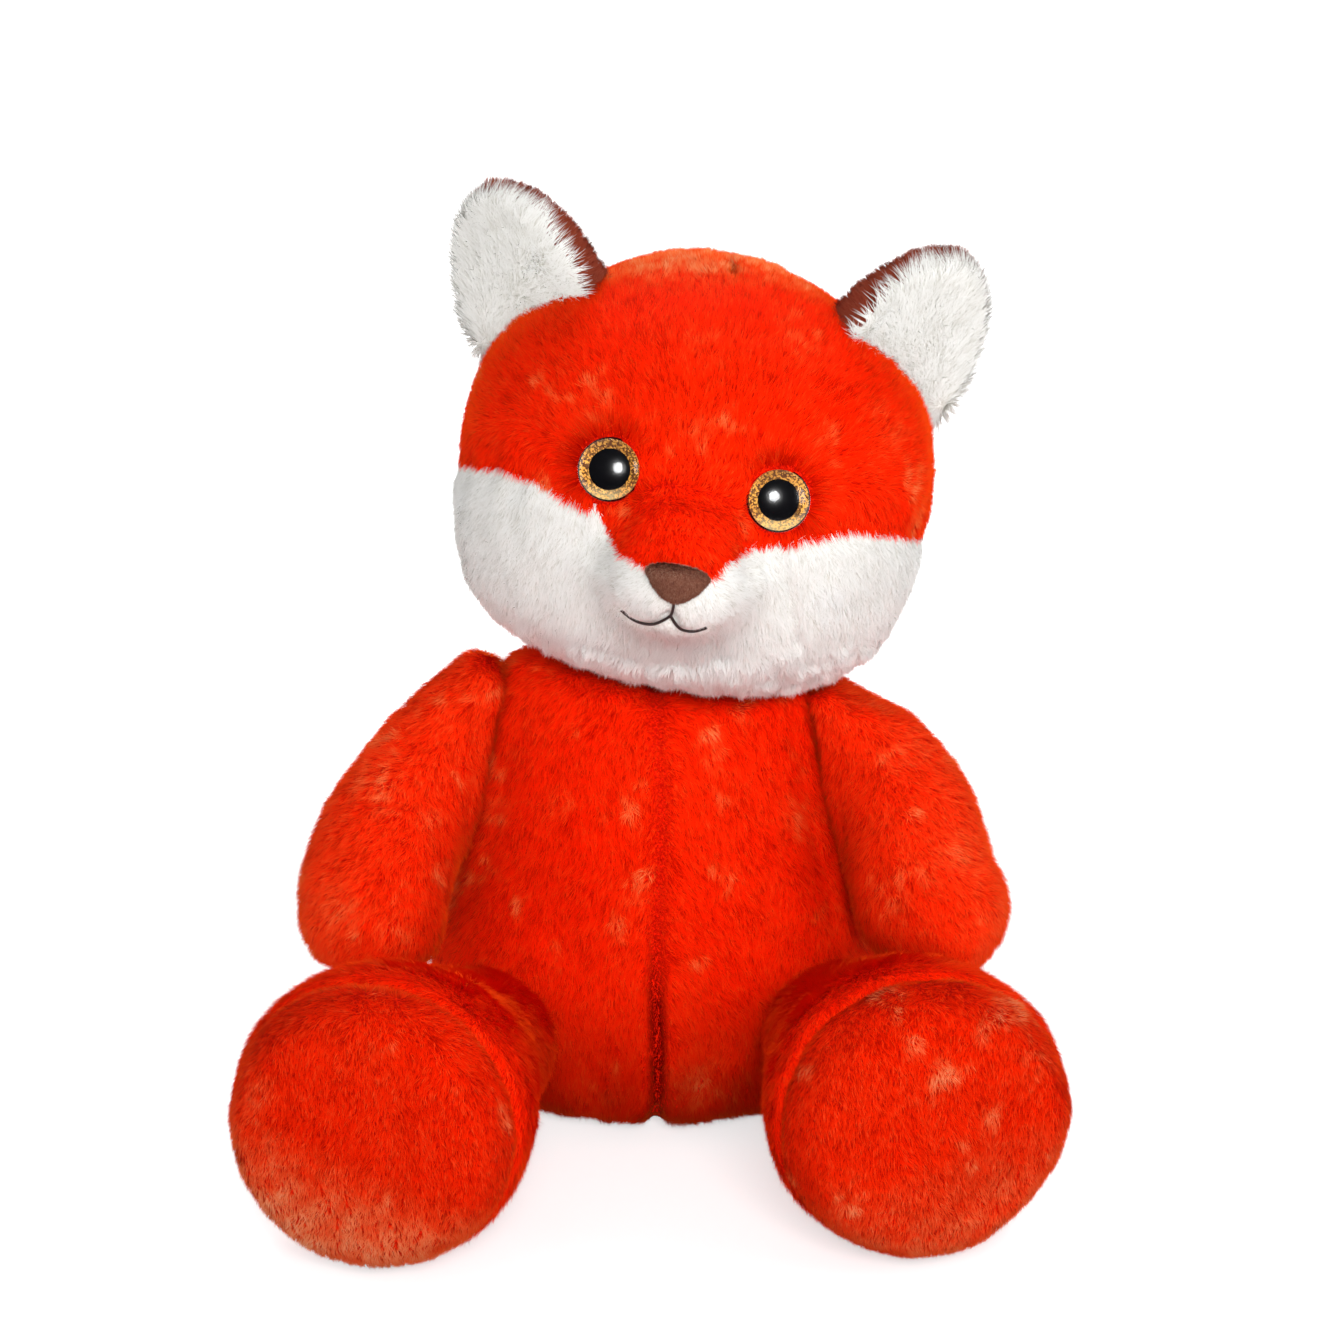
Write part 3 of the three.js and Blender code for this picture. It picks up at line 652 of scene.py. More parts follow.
# %% [markdown]
# ## Torso
# The body is two halves sewn together down the front. High up the pile hides the seam, and low
# down, where the seat folds, it is a clear crease. The crease and the lowest part of the body get
# painted shade. The pile is brushed down, and away from the seam.

# %% Sew and brush the torso
DOWN = np.array([0, 0, -1.0])
SIDEWAYS = np.array([1.0, 0, 0])
SEAM_WAVE = 1.5 * MM
SEAM_WAVE_LENGTH = 22 * MM
SEAM_WIDTH = 4 * MM
# The seam's depth changes with the height in millimetres.
SEAM_HEIGHTS = [2, 10, 60, 90, 150, 250]
SEAM_DEPTHS = np.array([1, 8, 8, 4, 2.2, 2.2]) * MM
CREASE_SHADE_WIDTH = 3.8 * MM
PARTING_WIDTH = 9 * MM
SEAT_SHADE_LUMPS = 26 * MM

torso = skins["torso"]
height = torso.places[:, 2]
drift = np.interp(height / MM, [40, 100], [0, 2]) * MM
from_seam = torso.places[:, 0] - SEAM_WAVE * np.sin(height / SEAM_WAVE_LENGTH) - drift
in_front = torso.places[:, 1] < 0
seam_distance = np.where(in_front, np.abs(from_seam), 1.0)
seam_depth = np.interp(height / MM, SEAM_HEIGHTS, SEAM_DEPTHS)
torso.sew(seam_distance, seam_depth, SEAM_WIDTH, shorter=0.8, trim=1.3)
# Painted shade in the seam's crease, strongest low down, and over the seat, darker towards the bottom.
crease_shade = near(seam_distance, CREASE_SHADE_WIDTH) * np.interp(height / MM, [60, 120], [1.6, 0.35])
seat_shade = np.interp(height / MM, [0, 35, 90], [0.85, 0.5, 0.0]) * (0.75 + 0.4 * torso.lumps(SEAT_SHADE_LUMPS))
torso.painted_shade = np.maximum.reduce([torso.painted_shade, crease_shade, seat_shade]).clip(0, 1)
parting = np.where(in_front, near(from_seam, PARTING_WIDTH) * np.sign(from_seam), 0)
swirls = 0.55 * torso.swirls(55 * MM) + 0.45 * torso.swirls(16 * MM)
torso.brush(DOWN + 1.2 * parting[:, None] * SIDEWAYS + swirls)
print("the front seam is at most", (seam_depth.max() / MM).round(1), "mm deep")

# %% [markdown]
# ## Head
# The face is sewn from an orange crown, white cheeks, a white muzzle and an orange bridge. Short
# seams show as creases, and their ends were read from the photograph as pixels. The crown dart and
# the jaw also get painted shade, and the pile under the jaw painted sheen. The pile is brushed
# outwards from the nose, and round the eyes it stands off like lashes, with painted shade at their
# roots.


# %% Measure the eyes
def measured(node, centre, axis):
    """A round node's radius, and its lowest and highest reach along an axis."""
    places = np.array([v.co for v in frame["nodes"][node].data.vertices]) - np.array(centre)
    heights = places @ np.array(axis)
    radii = np.linalg.norm(places - np.outer(heights, np.array(axis)), axis=1)
    return radii.max(), heights.min(), heights.max()


eyes = {}
for side in SIDES:
    ring = np.array([v.co for v in frame["nodes"][f"eye_{side}_iris"].data.vertices])
    centre = Vector(ring.mean(0))
    axis = Vector(np.linalg.svd(ring - ring.mean(0))[2][2])
    if axis.y > 0:
        axis.negate()
    parts = {part: measured(f"eye_{side}_{part}", centre, axis) for part in ("lens", "iris", "pupil_post")}
    eyes[side] = {"centre": centre, "axis": axis, **parts}
    print(side, "eye looks along", axis, "and measures", np.round(list(parts.values()), 5).tolist())

# %% Sew the head
SHORT_SEAMS = {
    "crown dart": [(733, 264), (734, 276)],
    "left cheek": [(781, 548), (786, 575), (791, 610), (797, 642)],
    "right of the muzzle": [(595, 507), (600, 520), (606, 533)],
}
DART_SHADE_WIDTH = 2.5 * MM
SOFT_DISTANCES = [25 * MM, 45 * MM]
SOFT_SHARE = 0.7
SOFT_WIDTH = 15 * MM
SOFT_ROUNDS = 80
MOUTH_LINES = [
    [(674, 602), (673, 611), (669, 620)],
    [(669, 620), (658, 625), (643, 626), (629, 620), (620, 611)],
    [(669, 620), (677, 629), (689, 633), (699, 632), (707, 629)],
]
CROWN, CHEEKS, MUZZLE, BRIDGE = range(4)

head = skins["head"]
mouth_paths = [head.seen_at(line) for line in MOUTH_LINES]
seam_paths = [head.seen_at(line) for line in SHORT_SEAMS.values()]
nose_low, nose_high = (np.array(corner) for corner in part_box("nose"))
nose_middle = (nose_low + nose_high) / 2
hard_parts = [nose_middle, *(np.array(eye["centre"]) for eye in eyes.values())]
from_hard = np.min([np.linalg.norm(head.places - part, axis=1) for part in hard_parts], axis=0)
softness = np.interp(from_hard, SOFT_DISTANCES, [0.0, SOFT_SHARE])
head.soften(softness * near(head.border(MUZZLE, CHEEKS), SOFT_WIDTH), SOFT_ROUNDS)
head.sew(head.border(CROWN, CHEEKS), depth=1.0 * MM, width=3 * MM, shorter=0.2)
head.sew(head.border(CROWN, BRIDGE), depth=1.8 * MM, width=5 * MM, shorter=0.2)
for name, path in zip(SHORT_SEAMS, seam_paths):
    from_path = distance_to_path(head.places, path)
    head.sew(from_path, depth=2.4 * MM, width=3 * MM)
    # The crown dart gets painted shade along it.
    if name == "crown dart":
        head.painted_shade = near(from_path, DART_SHADE_WIDTH)

# %% Shape the chin and the mouth
JAW = [(585, 642), (608, 648), (646, 658), (690, 659), (728, 651)]
JAW_LUMPS = 2.2 * MM
JAW_DROPS = (48 * MM, 30 * MM)
JAW_SHADE_WIDTH = 2.5 * MM

jaw = distance_to_path(head.places, head.seen_at(JAW))
under_jaw = np.interp(head.places[:, 2], [nose_low[2] - drop for drop in JAW_DROPS], [1.0, 0.0])
under_jaw = under_jaw * (head.reach.argmin(1) != CROWN)
head.press(JAW_LUMPS * under_jaw * head.lumps(8 * MM))
# Under the jaw the pile is ruffled, which also paints sheen on the chin.
head.ruffle_sheen = np.maximum(head.ruffle_sheen, 0.6 * under_jaw * (0.5 + head.lumps(10 * MM)).clip(0, 1))
head.sew(jaw, depth=2.2 * MM, width=4 * MM, shorter=0.3)
# A little painted shade along the jaw's crease.
head.painted_shade = np.maximum(head.painted_shade, 0.14 * near(jaw, JAW_SHADE_WIDTH))
for path in mouth_paths:
    head.sew(distance_to_path(head.places, path), depth=2.2 * MM, width=4 * MM, shorter=0.8, trim=1.8)

# %% Brush the head
WIDE_SWIRLS = 45 * MM
FINE_SWIRLS = 15 * MM
FALL_REACH = 18 * MM
CHIN_REACH = 14 * MM
CHIN_DROP = 22 * MM
JAW_REACH = 9 * MM

outward = unit(head.places - nose_middle)
by_cheeks = near(head.border(CROWN, CHEEKS), FALL_REACH)
downward = {CROWN: by_cheeks, CHEEKS: 0.7, MUZZLE: 0.3, BRIDGE: 0.9}
falls = np.choose(head.reach.argmin(1), [downward[node] for node in range(4)])[:, None]
flow = outward * (1 - falls) + DOWN * 1.3 * falls
flow = flow + 0.35 * head.swirls(WIDE_SWIRLS) + 0.3 * head.swirls(FINE_SWIRLS)
below = head.places[:, 2] < nose_low[2] - CHIN_DROP
chin = near(head.border(MUZZLE, CHEEKS), CHIN_REACH) * below
head.length = head.length * (1 + 0.4 * chin + 0.5 * near(jaw - JAW_REACH / 2, JAW_REACH))
# Along the jaw the pile is ruffled, which paints sheen there.
head.ruffle_sheen = np.maximum(head.ruffle_sheen, 0.6 * near(jaw, JAW_REACH))

# %% Stand the lashes off
LASH_REACH = 11 * MM
LASH_ROOT = 4 * MM
LASH_GROWTH = 0.9
LASH_SHADE = 0.45

for eye in eyes.values():
    centre, axis = np.array(eye["centre"]), np.array(eye["axis"])
    offset = head.places - centre
    offset = offset - np.outer(offset @ axis, axis)
    from_rim = np.linalg.norm(head.places - centre, axis=1) - eye["lens"][0]
    toward_nose = unit((nose_middle - centre)[None])[0]
    lash = near(from_rim.clip(0), LASH_REACH) * np.clip(0.6 - unit(offset) @ toward_nose, 0, 1)
    flow = flow * (1 - lash)[:, None] + 2 * unit(offset) * lash[:, None]
    head.length = head.length * (1 + LASH_GROWTH * lash)
    # Painted shade on the lashes' roots, near the rim of each eye.
    head.painted_shade = np.maximum(head.painted_shade, LASH_SHADE * lash * near(from_rim, LASH_ROOT))
head.brush(flow)
face = head.surface()
print("the pile on the head is at most", head.length.max().round(2), "times its usual length")

# %% [markdown]
# ## Limbs, ears and tail
# The limbs are brushed towards their ends. The foot's sole is a round piece let into the end of the
# leg, so its seam is a ring. The right arm has a crease at the elbow, and the left foot was stuffed
# less at its lower outer edge, so it is pressed in there. An ear is sewn into a slit of the head, so
# its foot sinks in.

# %% Sew and brush the arms
ELBOW = [(350, 797), (398, 800), (446, 792)]
ARM_RUFFLE_SHEEN = 0.08
OUTER_RIM_SHEEN = 0.15

bent = skins["arm_right"]
bent.sew(distance_to_path(bent.places, bent.seen_at(ELBOW)), depth=2.5 * MM, width=5 * MM, shorter=0.2)
for side, sign in SIDES.items():
    arm = skins[f"arm_{side}"]
    # The arms get painted sheen all over, and more on their outer side as painted rim light.
    arm.ruffle_sheen = (arm.ruffle_sheen + ARM_RUFFLE_SHEEN + OUTER_RIM_SHEEN * (sign * arm.normals[:, 0]).clip(0)).clip(0, 1)
    arm.brush(DOWN + 0.5 * sign * SIDEWAYS + 0.5 * arm.swirls(WIDE_SWIRLS) + 0.5 * arm.swirls(FINE_SWIRLS))

# %% Sew and brush the legs
SOLE = 1
SOLE_MIDDLE = 140 * MM
SOLE_SLANT = 0.35
LOW_SOLE = [5 * MM, 70 * MM]
PALE_SOLES = {"left": 0.55, "right": 1.05}
LEG_RUFFLE_SHEEN = 0.2
SLACK_SPOT = (1008, 1192)
SLACK_SIZE = 30 * MM
SLACK_DEPTH = 8 * MM

foot = skins["leg_left"]
slack = np.linalg.norm(foot.places - np.array(foot.seen_at([SLACK_SPOT])[0]), axis=1)
foot.press(SLACK_DEPTH * near(slack, SLACK_SIZE))
for side, sign in SIDES.items():
    leg = skins[f"leg_{side}"]
    leg.sew(leg.border(0, SOLE), depth=2.2 * MM, width=4 * MM, shorter=0.3)
    on_sole = leg.reach.argmin(1) == SOLE
    brushed = np.where(on_sole[:, None], DOWN, np.array([0.5 * sign, -0.5, -0.7]))
    leg.brush(brushed + 0.5 * leg.swirls(WIDE_SWIRLS) + 0.45 * leg.swirls(FINE_SWIRLS))
    # The soles are painted paler towards their lower outer edge.
    outside = sign * leg.places[:, 0] - SOLE_MIDDLE
    low = np.interp(leg.places[:, 2] - SOLE_SLANT * outside, LOW_SOLE, [PALE_SOLES[side], 0.0])
    low = np.where(on_sole, low * (0.8 + 0.7 * leg.lumps(10 * MM)), 0)
    leg.ruffle_sheen = np.maximum(leg.ruffle_sheen * np.where(on_sole, 1, LEG_RUFFLE_SHEEN), low).clip(0, 1)

# %% Sew the ears to the head
EAR_ROOT = 25 * MM
EAR_FOOT = 10 * MM
EAR_SUNK = 8 * MM
EAR_FRINGE = 8 * MM
EAR_HALF_WIDTH = 40 * MM
BACK_STRIP = 4.5 * MM

for side, sign in SIDES.items():
    ear = skins[f"ear_{side}"]
    inward = -sign * (ear.places[:, 0] - ear.places[:, 0].mean()) / EAR_HALF_WIDTH
    ear.reach[:, 1] -= BACK_STRIP * inward.clip(-1, 1)
    root = ear.places[ear.places[:, 2] < ear.places[:, 2].min() + EAR_ROOT].mean(0)
    outward = unit(ear.places - root)
    ear.length = ear.length * (1 + 0.6 * near(ear.border(0, 1), EAR_FRINGE))
    ear.brush(outward + 0.3 * ear.swirls(20 * MM))
    for number, place in enumerate(ear.places):
        _, normal, _, distance = face.find_nearest(place)
        ear.places[number] = place - EAR_SUNK * near(distance, EAR_FOOT) * np.array(normal)
    ear.renew_normals()

# %% Brush the tail and the nose
NOSE_TOP_DROPS = (7 * MM, 2 * MM)

tail = skins["tail"]
tail.brush(np.array([0, 1.0, -0.2]) + 0.4 * tail.swirls(30 * MM))
nose = skins["nose"]
nose.brush(DOWN + 0.3 * nose.swirls(8 * MM))
# The nose's pile is ruffled towards its top, which paints sheen there.
nose.ruffle_sheen = np.interp(nose.places[:, 2], [nose_high[2] - drop for drop in NOSE_TOP_DROPS], [0.1, 0.8])

# %% [markdown]
# ## Show the skins
# The skin is the woven backing and the dense roots of the pile. It shows where the pile parts, in a
# deeper colour that is painted shade. Each node gets its own piece, so that the seam between two
# colours stays sharp.

# %% Add the skin pieces
FLOOR_CLEARANCE = 0.4 * MM


def dress(piece, node):
    """A piece moves with its node's body."""
    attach(piece, BODIES[node])


def add_skins(skin):
    """A piece for each of a skin's nodes, none of it below the floor."""
    skin.places[:, 2] = skin.places[:, 2].clip(FLOOR_CLEARANCE)
    for index, node in enumerate(skin.nodes):
        used, corners = np.unique(skin.triangles_of(index), return_inverse=True)
        mesh = bpy.data.meshes.new(f"{node}_skin")
        mesh.from_pydata(skin.places[used], [], corners.reshape(-1, 3).tolist())
        mesh.materials.append(SKINS[SLOTS[node]])
        mesh.shade_smooth()
        piece = bpy.data.objects.new(f"{node}_skin", mesh)
        bpy.context.scene.collection.objects.link(piece)
        dress(piece, node)
        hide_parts(node)


for skin in skins.values():
    add_skins(skin)

# %% [markdown]
# ## Pile
# Hair curves would look right here but are not a mesh, and a fur shader would be flat at the
# outline. So each hair is a slim blade, a real triangle. Blades that stand in one tuft lean alike,
# which is what makes pile part and gather. Their shading normals mostly follow the skin, because
# the light that falls on real pile is spread by thousands of hairs.

# %% Choose where blades stand
TUFT_SIZE = 4 * MM
LOCK_SIZE = 1.3 * MM
EYE_CLEARANCE = 2.5 * MM
TUFT_KINDS = 65536
CELL_PRIMES = np.array([73856093, 19349663, 83492791])
tuft_leans = unit(draws.normal(size=(TUFT_KINDS, 3)))
lock_shades = draws.random(TUFT_KINDS)


def tuft_of(roots, size):
    """A number for the tuft that each root stands in, from the cube of space that holds it."""
    mixed = np.floor(roots / size).astype(np.int64) * CELL_PRIMES
    return (mixed[:, 0] ^ mixed[:, 1] ^ mixed[:, 2]) & (TUFT_KINDS - 1)


def clear_of_eyes(roots, tips):
    """True for the blades that neither stand in an eye nor reach far over one."""
    clear = np.ones(len(roots), bool)
    for eye in eyes.values():
        centre, axis = np.array(eye["centre"]), np.array(eye["axis"])
        radius = eye["lens"][0]
        for places, limit in ((roots, radius), (tips, radius - EYE_CLEARANCE)):
            offset = places - centre
            height = offset @ axis
            aside = np.linalg.norm(offset - np.outer(height, axis), axis=1)
            clear &= (aside > limit) | (height < -2 * radius)
    return clear


def sample(skin, per_mm2):
    """Random roots on a skin, as the triangle and the corner weights of each."""
    a, b, c = (skin.places[skin.triangles[:, i]] for i in range(3))
    areas = np.linalg.norm(np.cross(b - a, c - a), axis=1) / 2
    count = int(areas.sum() / MM**2 * per_mm2)
    picks = np.searchsorted(areas.cumsum() / areas.sum(), draws.random(count)).clip(0, len(areas) - 1)
    root, v = np.sqrt(draws.random(count)), draws.random(count)
    return picks, np.stack([1 - root, root * (1 - v), root * v], axis=1)


# %% Make blades
def add_blades(name, node, corners, shading, fields):
    """A piece of blades, each given by its two root corners and its tip, with some values."""
    count = len(corners)
    places = corners.reshape(-1, 3)
    places[:, 2] = places[:, 2].clip(FLOOR_CLEARANCE)
    mesh = bpy.data.meshes.new(name)
    mesh.vertices.add(3 * count)
    mesh.loops.add(3 * count)
    mesh.polygons.add(count)
    mesh.vertices.foreach_set("co", places.astype(np.float32).ravel())
    mesh.loops.foreach_set("vertex_index", np.arange(3 * count, dtype=np.int32))
    mesh.polygons.foreach_set("loop_start", np.arange(0, 3 * count, 3, dtype=np.int32))
    mesh.update(calc_edges=True)
    mesh.normals_split_custom_set_from_vertices(np.repeat(shading, 3, axis=0).astype(np.float32))
    on_corners = {label: np.repeat(values, 3) for label, values in fields.items()}
    on_corners["along"] = np.tile((0.0, 0.0, 1.0), count)
    for label, values in on_corners.items():
        mesh.attributes.new(label, "FLOAT", "POINT").data.foreach_set("value", values.astype(np.float32))
    mesh.materials.append(PILES[SLOTS[node]])
    piece = bpy.data.objects.new(name, mesh)
    bpy.context.scene.collection.objects.link(piece)
    dress(piece, node)


# %% Work out the blades
LOCKING = 0.2
LOCK_SHADE = 0.65
RUFFLED_TUFTS = 2.2
RUFFLED_RISE = 20
FRIZZY_RISE = 22
RISE_SPREAD = 6
RISE_LIMITS = (0.3, 1.45)
LENGTH_LIMITS = (0.75, 1.15)
TWIST_LIMITS = (-0.5, 0.5)
TIP_LIGHT = 0.28
LIGHT_SPREAD = 0.08


def grow(skin, per_mm2, length, width, lean=70, tufting=0.3, stray=0.18, frizz=0.05):
    """The roots and blades of a skin's pile. A length or width is one number or one for each node."""
    picks, weights = sample(skin, per_mm2)
    corners = skin.triangles[picks]

    def at_roots(values):
        spread = weights if values.ndim == 1 else weights[:, :, None]
        return (values[corners] * spread).sum(1)

    roots, normals, ruffle_sheen = at_roots(skin.places), unit(at_roots(skin.normals)), at_roots(skin.ruffle_sheen)
    painted_shade, owner = at_roots(skin.painted_shade), at_roots(skin.reach).argmin(1)
    count = len(roots)
    lock = tuft_of(roots, LOCK_SIZE)
    strand = (1 - LOCK_SHADE) * draws.random(count) + LOCK_SHADE * lock_shades[lock]
    frizzy = draws.random(count) < frizz
    leaning = (unit(at_roots(skin.comb))
               + tufting * (1 + RUFFLED_TUFTS * ruffle_sheen)[:, None] * tuft_leans[tuft_of(roots, TUFT_SIZE)]
               + LOCKING * tuft_leans[lock]
               + (stray + 0.5 * frizzy)[:, None] * draws.normal(size=(count, 3)))
    leaning = unit(leaning - normals * (leaning * normals).sum(1, keepdims=True))
    degrees = lean - RUFFLED_RISE * ruffle_sheen - FRIZZY_RISE * frizzy + draws.normal(0, RISE_SPREAD, count)
    angle = np.radians(degrees).clip(*RISE_LIMITS)[:, None]
    along = leaning * np.sin(angle) + normals * np.cos(angle)
    lengths = np.broadcast_to(length, len(skin.nodes))[owner]
    widths = np.broadcast_to(width, len(skin.nodes))[owner]
    reach = lengths * at_roots(skin.length) * draws.uniform(*LENGTH_LIMITS, count)
    tips = roots + along * reach[:, None]
    twist = draws.uniform(*TWIST_LIMITS, count)[:, None]
    side = unit(np.cross(along, normals))
    side = side * np.cos(twist) + np.cross(along, side) * np.sin(twist)
    shading = unit(normals + TIP_LIGHT * along + LIGHT_SPREAD * draws.normal(size=(count, 3)))
    facing = np.sign((np.cross(side, along) * shading).sum(1))[:, None]
    half = side * facing * (widths * (1 - 0.5 * frizzy))[:, None] / 2
    blades = np.stack([roots - half, roots + half, tips], axis=1)
    return roots, blades, shading, owner, {"strand": strand, "ruffle_sheen": ruffle_sheen, "painted_shade": painted_shade}


# %% Grow the pile
MOST_BLADES = 190000
BODY = {"per_mm2": 1.7, "length": 7 * MM, "width": 0.52 * MM}
LEG = {**BODY, "length": (7 * MM, 5 * MM)}
EAR = {"per_mm2": 2.0, "length": (8 * MM, 6 * MM), "width": 0.6 * MM, "lean": 60}
GROWTH = {
    "torso": BODY, "arm_left": BODY, "arm_right": BODY,
    "leg_left": LEG, "ear_left": EAR, "leg_right": LEG, "ear_right": EAR,
    "head": {**BODY, "length": (7 * MM, 6.5 * MM, 5.5 * MM, 5.5 * MM)},
    "tail": {"per_mm2": 1.4, "length": 10 * MM, "width": 0.7 * MM, "lean": 62},
    "nose": {"per_mm2": 6.0, "length": 1.2 * MM, "width": 0.35 * MM, "lean": 50, "tufting": 0.1,
             "stray": 0.4},
}
blade_counts = {}


def add_pile(skin, growth):
    """Adds a skin's pile, in pieces of one node each and of no more than the most blades."""
    roots, blades, shading, owner, fields = grow(skin, **growth)
    keep = clear_of_eyes(roots, blades[:, 2]) if skin.name == "head" else np.ones(len(roots), bool)
    for index, node in enumerate(skin.nodes):
        chosen = np.flatnonzero(keep & (owner == index))
        chosen = chosen[np.argsort(roots[chosen, 2], kind="stable")]
        parts = math.ceil(len(chosen) / MOST_BLADES)
        for number, part in enumerate(np.array_split(chosen, parts)):
            name = f"{node}_pile_{number + 1}"
            values = {label: field[part] for label, field in fields.items()}
            add_blades(name, node, blades[part], shading[part], values)
            blade_counts[name] = len(part)


for name, growth in GROWTH.items():
    add_pile(skins[name], growth)
print("blades:", sum(blade_counts.values()), "the most in one piece:", max(blade_counts.values()))

# %% [markdown]
# ## Eyes
# Each eye is a clear dome over a film of gold glitter, with a black pupil. Solid glass would be the
# true way, but it is slow and noisy in so small a piece, and it shades the film. What the dome adds
# to the look is its reflection, so it is a thin mirror whose alpha is the few percent that plastic
# reflects. The film's flakes are cells of a Voronoi texture, darker above, where the dome's rim
# shades them, and brightest below, where it gathers the light.

# %% Finish the plastic
FLAKE_SIZE = 0.8 * MM
FLAKE_DEPTH = 0.3 * MM
GOLD_SHARE = 0.5
GLOW_SHARE = 0.5
GOLD = {"deep": (0.13, 0.034, 0.003, 1), "full": (1.0, 0.47, 0.07, 1),
        "shade": (0.10, 0.028, 0.004, 1), "glow": (1.0, 0.80, 0.36, 1)}

glitter = Finish("gold glitter", Metallic=0.4, Roughness=0.35)
flake_colour = glitter.pattern("ShaderNodeTexVoronoi", FLAKE_SIZE, "Color")
flake_shade = glitter.add("ShaderNodeSeparateColor", sockets={"Color": flake_colour}, output="Red")
flake_edge = glitter.pattern("ShaderNodeTexVoronoi", FLAKE_SIZE, "Distance")
lower = glitter.attribute("lower")
gold = glitter.mix(glitter.step(flake_shade, 0.35, 0.75), GOLD["deep"], GOLD["full"])
shaded = glitter.mix(glitter.step(lower, -1.0, -0.2), GOLD["shade"], gold)
glowing = GLOW_SHARE * glitter.step(lower, 0.3, 1.0)
glitter.link("Base Color", glitter.mix(glowing, glitter.mix(GOLD_SHARE, shaded, gold), GOLD["glow"]))
glitter.bump(flake_edge, FLAKE_DEPTH)

black = Finish("black plastic", Base_Color=(0.003, 0.003, 0.004, 1), Specular_IOR_Level=0.05)
black.link("Roughness", 0.12 + 0.06 * black.clouds(4 * MM))

clear = Finish("clear plastic", Base_Color=(1, 1, 1, 1), Metallic=1.0, Roughness=0.17)
clear.link("Alpha", 0.035 + 0.02 * clear.clouds(5 * MM))

pale = Finish("pale plastic", Base_Color=(0.8, 0.78, 0.73, 1))
pale.link("Roughness", 0.4 + 0.2 * pale.clouds(2 * MM))
print("eye finishes:", [finish.material.name for finish in (glitter, black, clear, pale)])

# %% Spin round pieces
EYE_SIDES = 64
SHARP = math.radians(35)


def turned(name, outline, place, finish):
    """A round piece spun from an outline of (radius, height) points and put in its place."""
    form = bmesh.new()
    points = [form.verts.new((radius, 0, height)) for radius, height in outline]
    edges = [form.edges.new(pair) for pair in zip(points, points[1:])]
    bmesh.ops.spin(form, geom=points + edges, cent=(0, 0, 0), axis=(0, 0, 1), angle=2 * math.pi,
                   steps=EYE_SIDES, use_merge=True)
    bmesh.ops.remove_doubles(form, verts=form.verts, dist=WELD)
    bmesh.ops.recalc_face_normals(form, faces=form.faces)
    bmesh.ops.transform(form, matrix=place, verts=form.verts)
    piece = new_piece(name, form, finish.material)
    piece.data.shade_smooth()
    piece.data.set_sharp_from_angle(angle=SHARP)
    return piece


# %% [markdown]
# The three pieces lie one behind the other, like plates. The film is a shallow cone, the pupil's
# plate closes the film's back, and the dome closes behind both: an open dome, or one whose flat back
# lay before the film, would mirror a lamp over the whole eye. The dome magnifies what is in it, so
# the pupil is drawn a little larger than its part.

# %% Turn the eyes
DOME_STEPS = 14
MAGNIFIED = 1.06
FLAT_SHARE = 0.8
FILM_SINK = 0.3 * MM
RIM = 0.8 * MM
FILM_BACK, PLATE_BACK, DOME_BACK = 2, 4, 5

for side, eye in eyes.items():
    turn = Vector((0, 0, 1)).rotation_difference(eye["axis"]).to_matrix().to_4x4()
    place = Matrix.Translation(eye["centre"]) @ turn
    lens_radius, lens_low, lens_high = eye["lens"]
    iris_radius, iris_low, _ = eye["iris"]
    pupil_radius, _, pupil_high = eye["pupil_post"]
    pupil_radius *= MAGNIFIED
    hole, plate = pupil_radius - FILM_SINK, lens_radius - FILM_SINK
    film_back, plate_back, dome_back = (times * iris_low for times in (FILM_BACK, PLATE_BACK, DOME_BACK))
    quarter = np.linspace(0, math.pi / 2, DOME_STEPS)
    dome = [(lens_radius * math.sin(t), lens_low + (lens_high - lens_low) * math.cos(t)) for t in quarter]
    film = [(hole, iris_low), (iris_radius - RIM, lens_low - FILM_SINK), (iris_radius - RIM, film_back),
            (hole, film_back)]
    pupil = [(0, pupil_high), (FLAT_SHARE * pupil_radius, pupil_high - FILM_SINK), (pupil_radius, iris_low),
             (pupil_radius, film_back), (plate, film_back), (plate, plate_back), (0, plate_back)]
    dome += [(lens_radius, dome_back), (0, dome_back)]
    pieces = {
        "lens": turned(f"eye_{side}_dome", dome, place, clear),
        "iris": turned(f"eye_{side}_glitter", film, place, glitter),
        "pupil_post": turned(f"eye_{side}_pupil", pupil, place, black),
    }
    ring = pieces["iris"].data
    lower = (eye["centre"].z - points_of(ring)[:, 2]) / iris_radius
    ring.attributes.new("lower", "FLOAT", "POINT").data.foreach_set("value", lower.astype(np.float32))
    for part, piece in pieces.items():
        dress(piece, f"eye_{side}_{part}")
        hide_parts(f"eye_{side}_{part}")
    washer = frame["nodes"][f"eye_{side}_washer"].data
    washer.materials.clear()
    washer.materials.append(pale.material)
    print(side, "eye:", [piece.name for piece in pieces.values()])

# %% [markdown]
# ## Mouth
# The mouth is three stitches of dark thread in a crease of the muzzle. A curve with a round bevel
# is a thread already. Its points lie on the skin behind the pixels where the photograph shows them.

# %% Sew the mouth
THREAD_RADIUS = 0.75 * MM
THREAD_LIFT = 2.0 * MM
TWIST_SIZE = 0.7 * MM
TWIST_DEPTH = 0.3 * MM

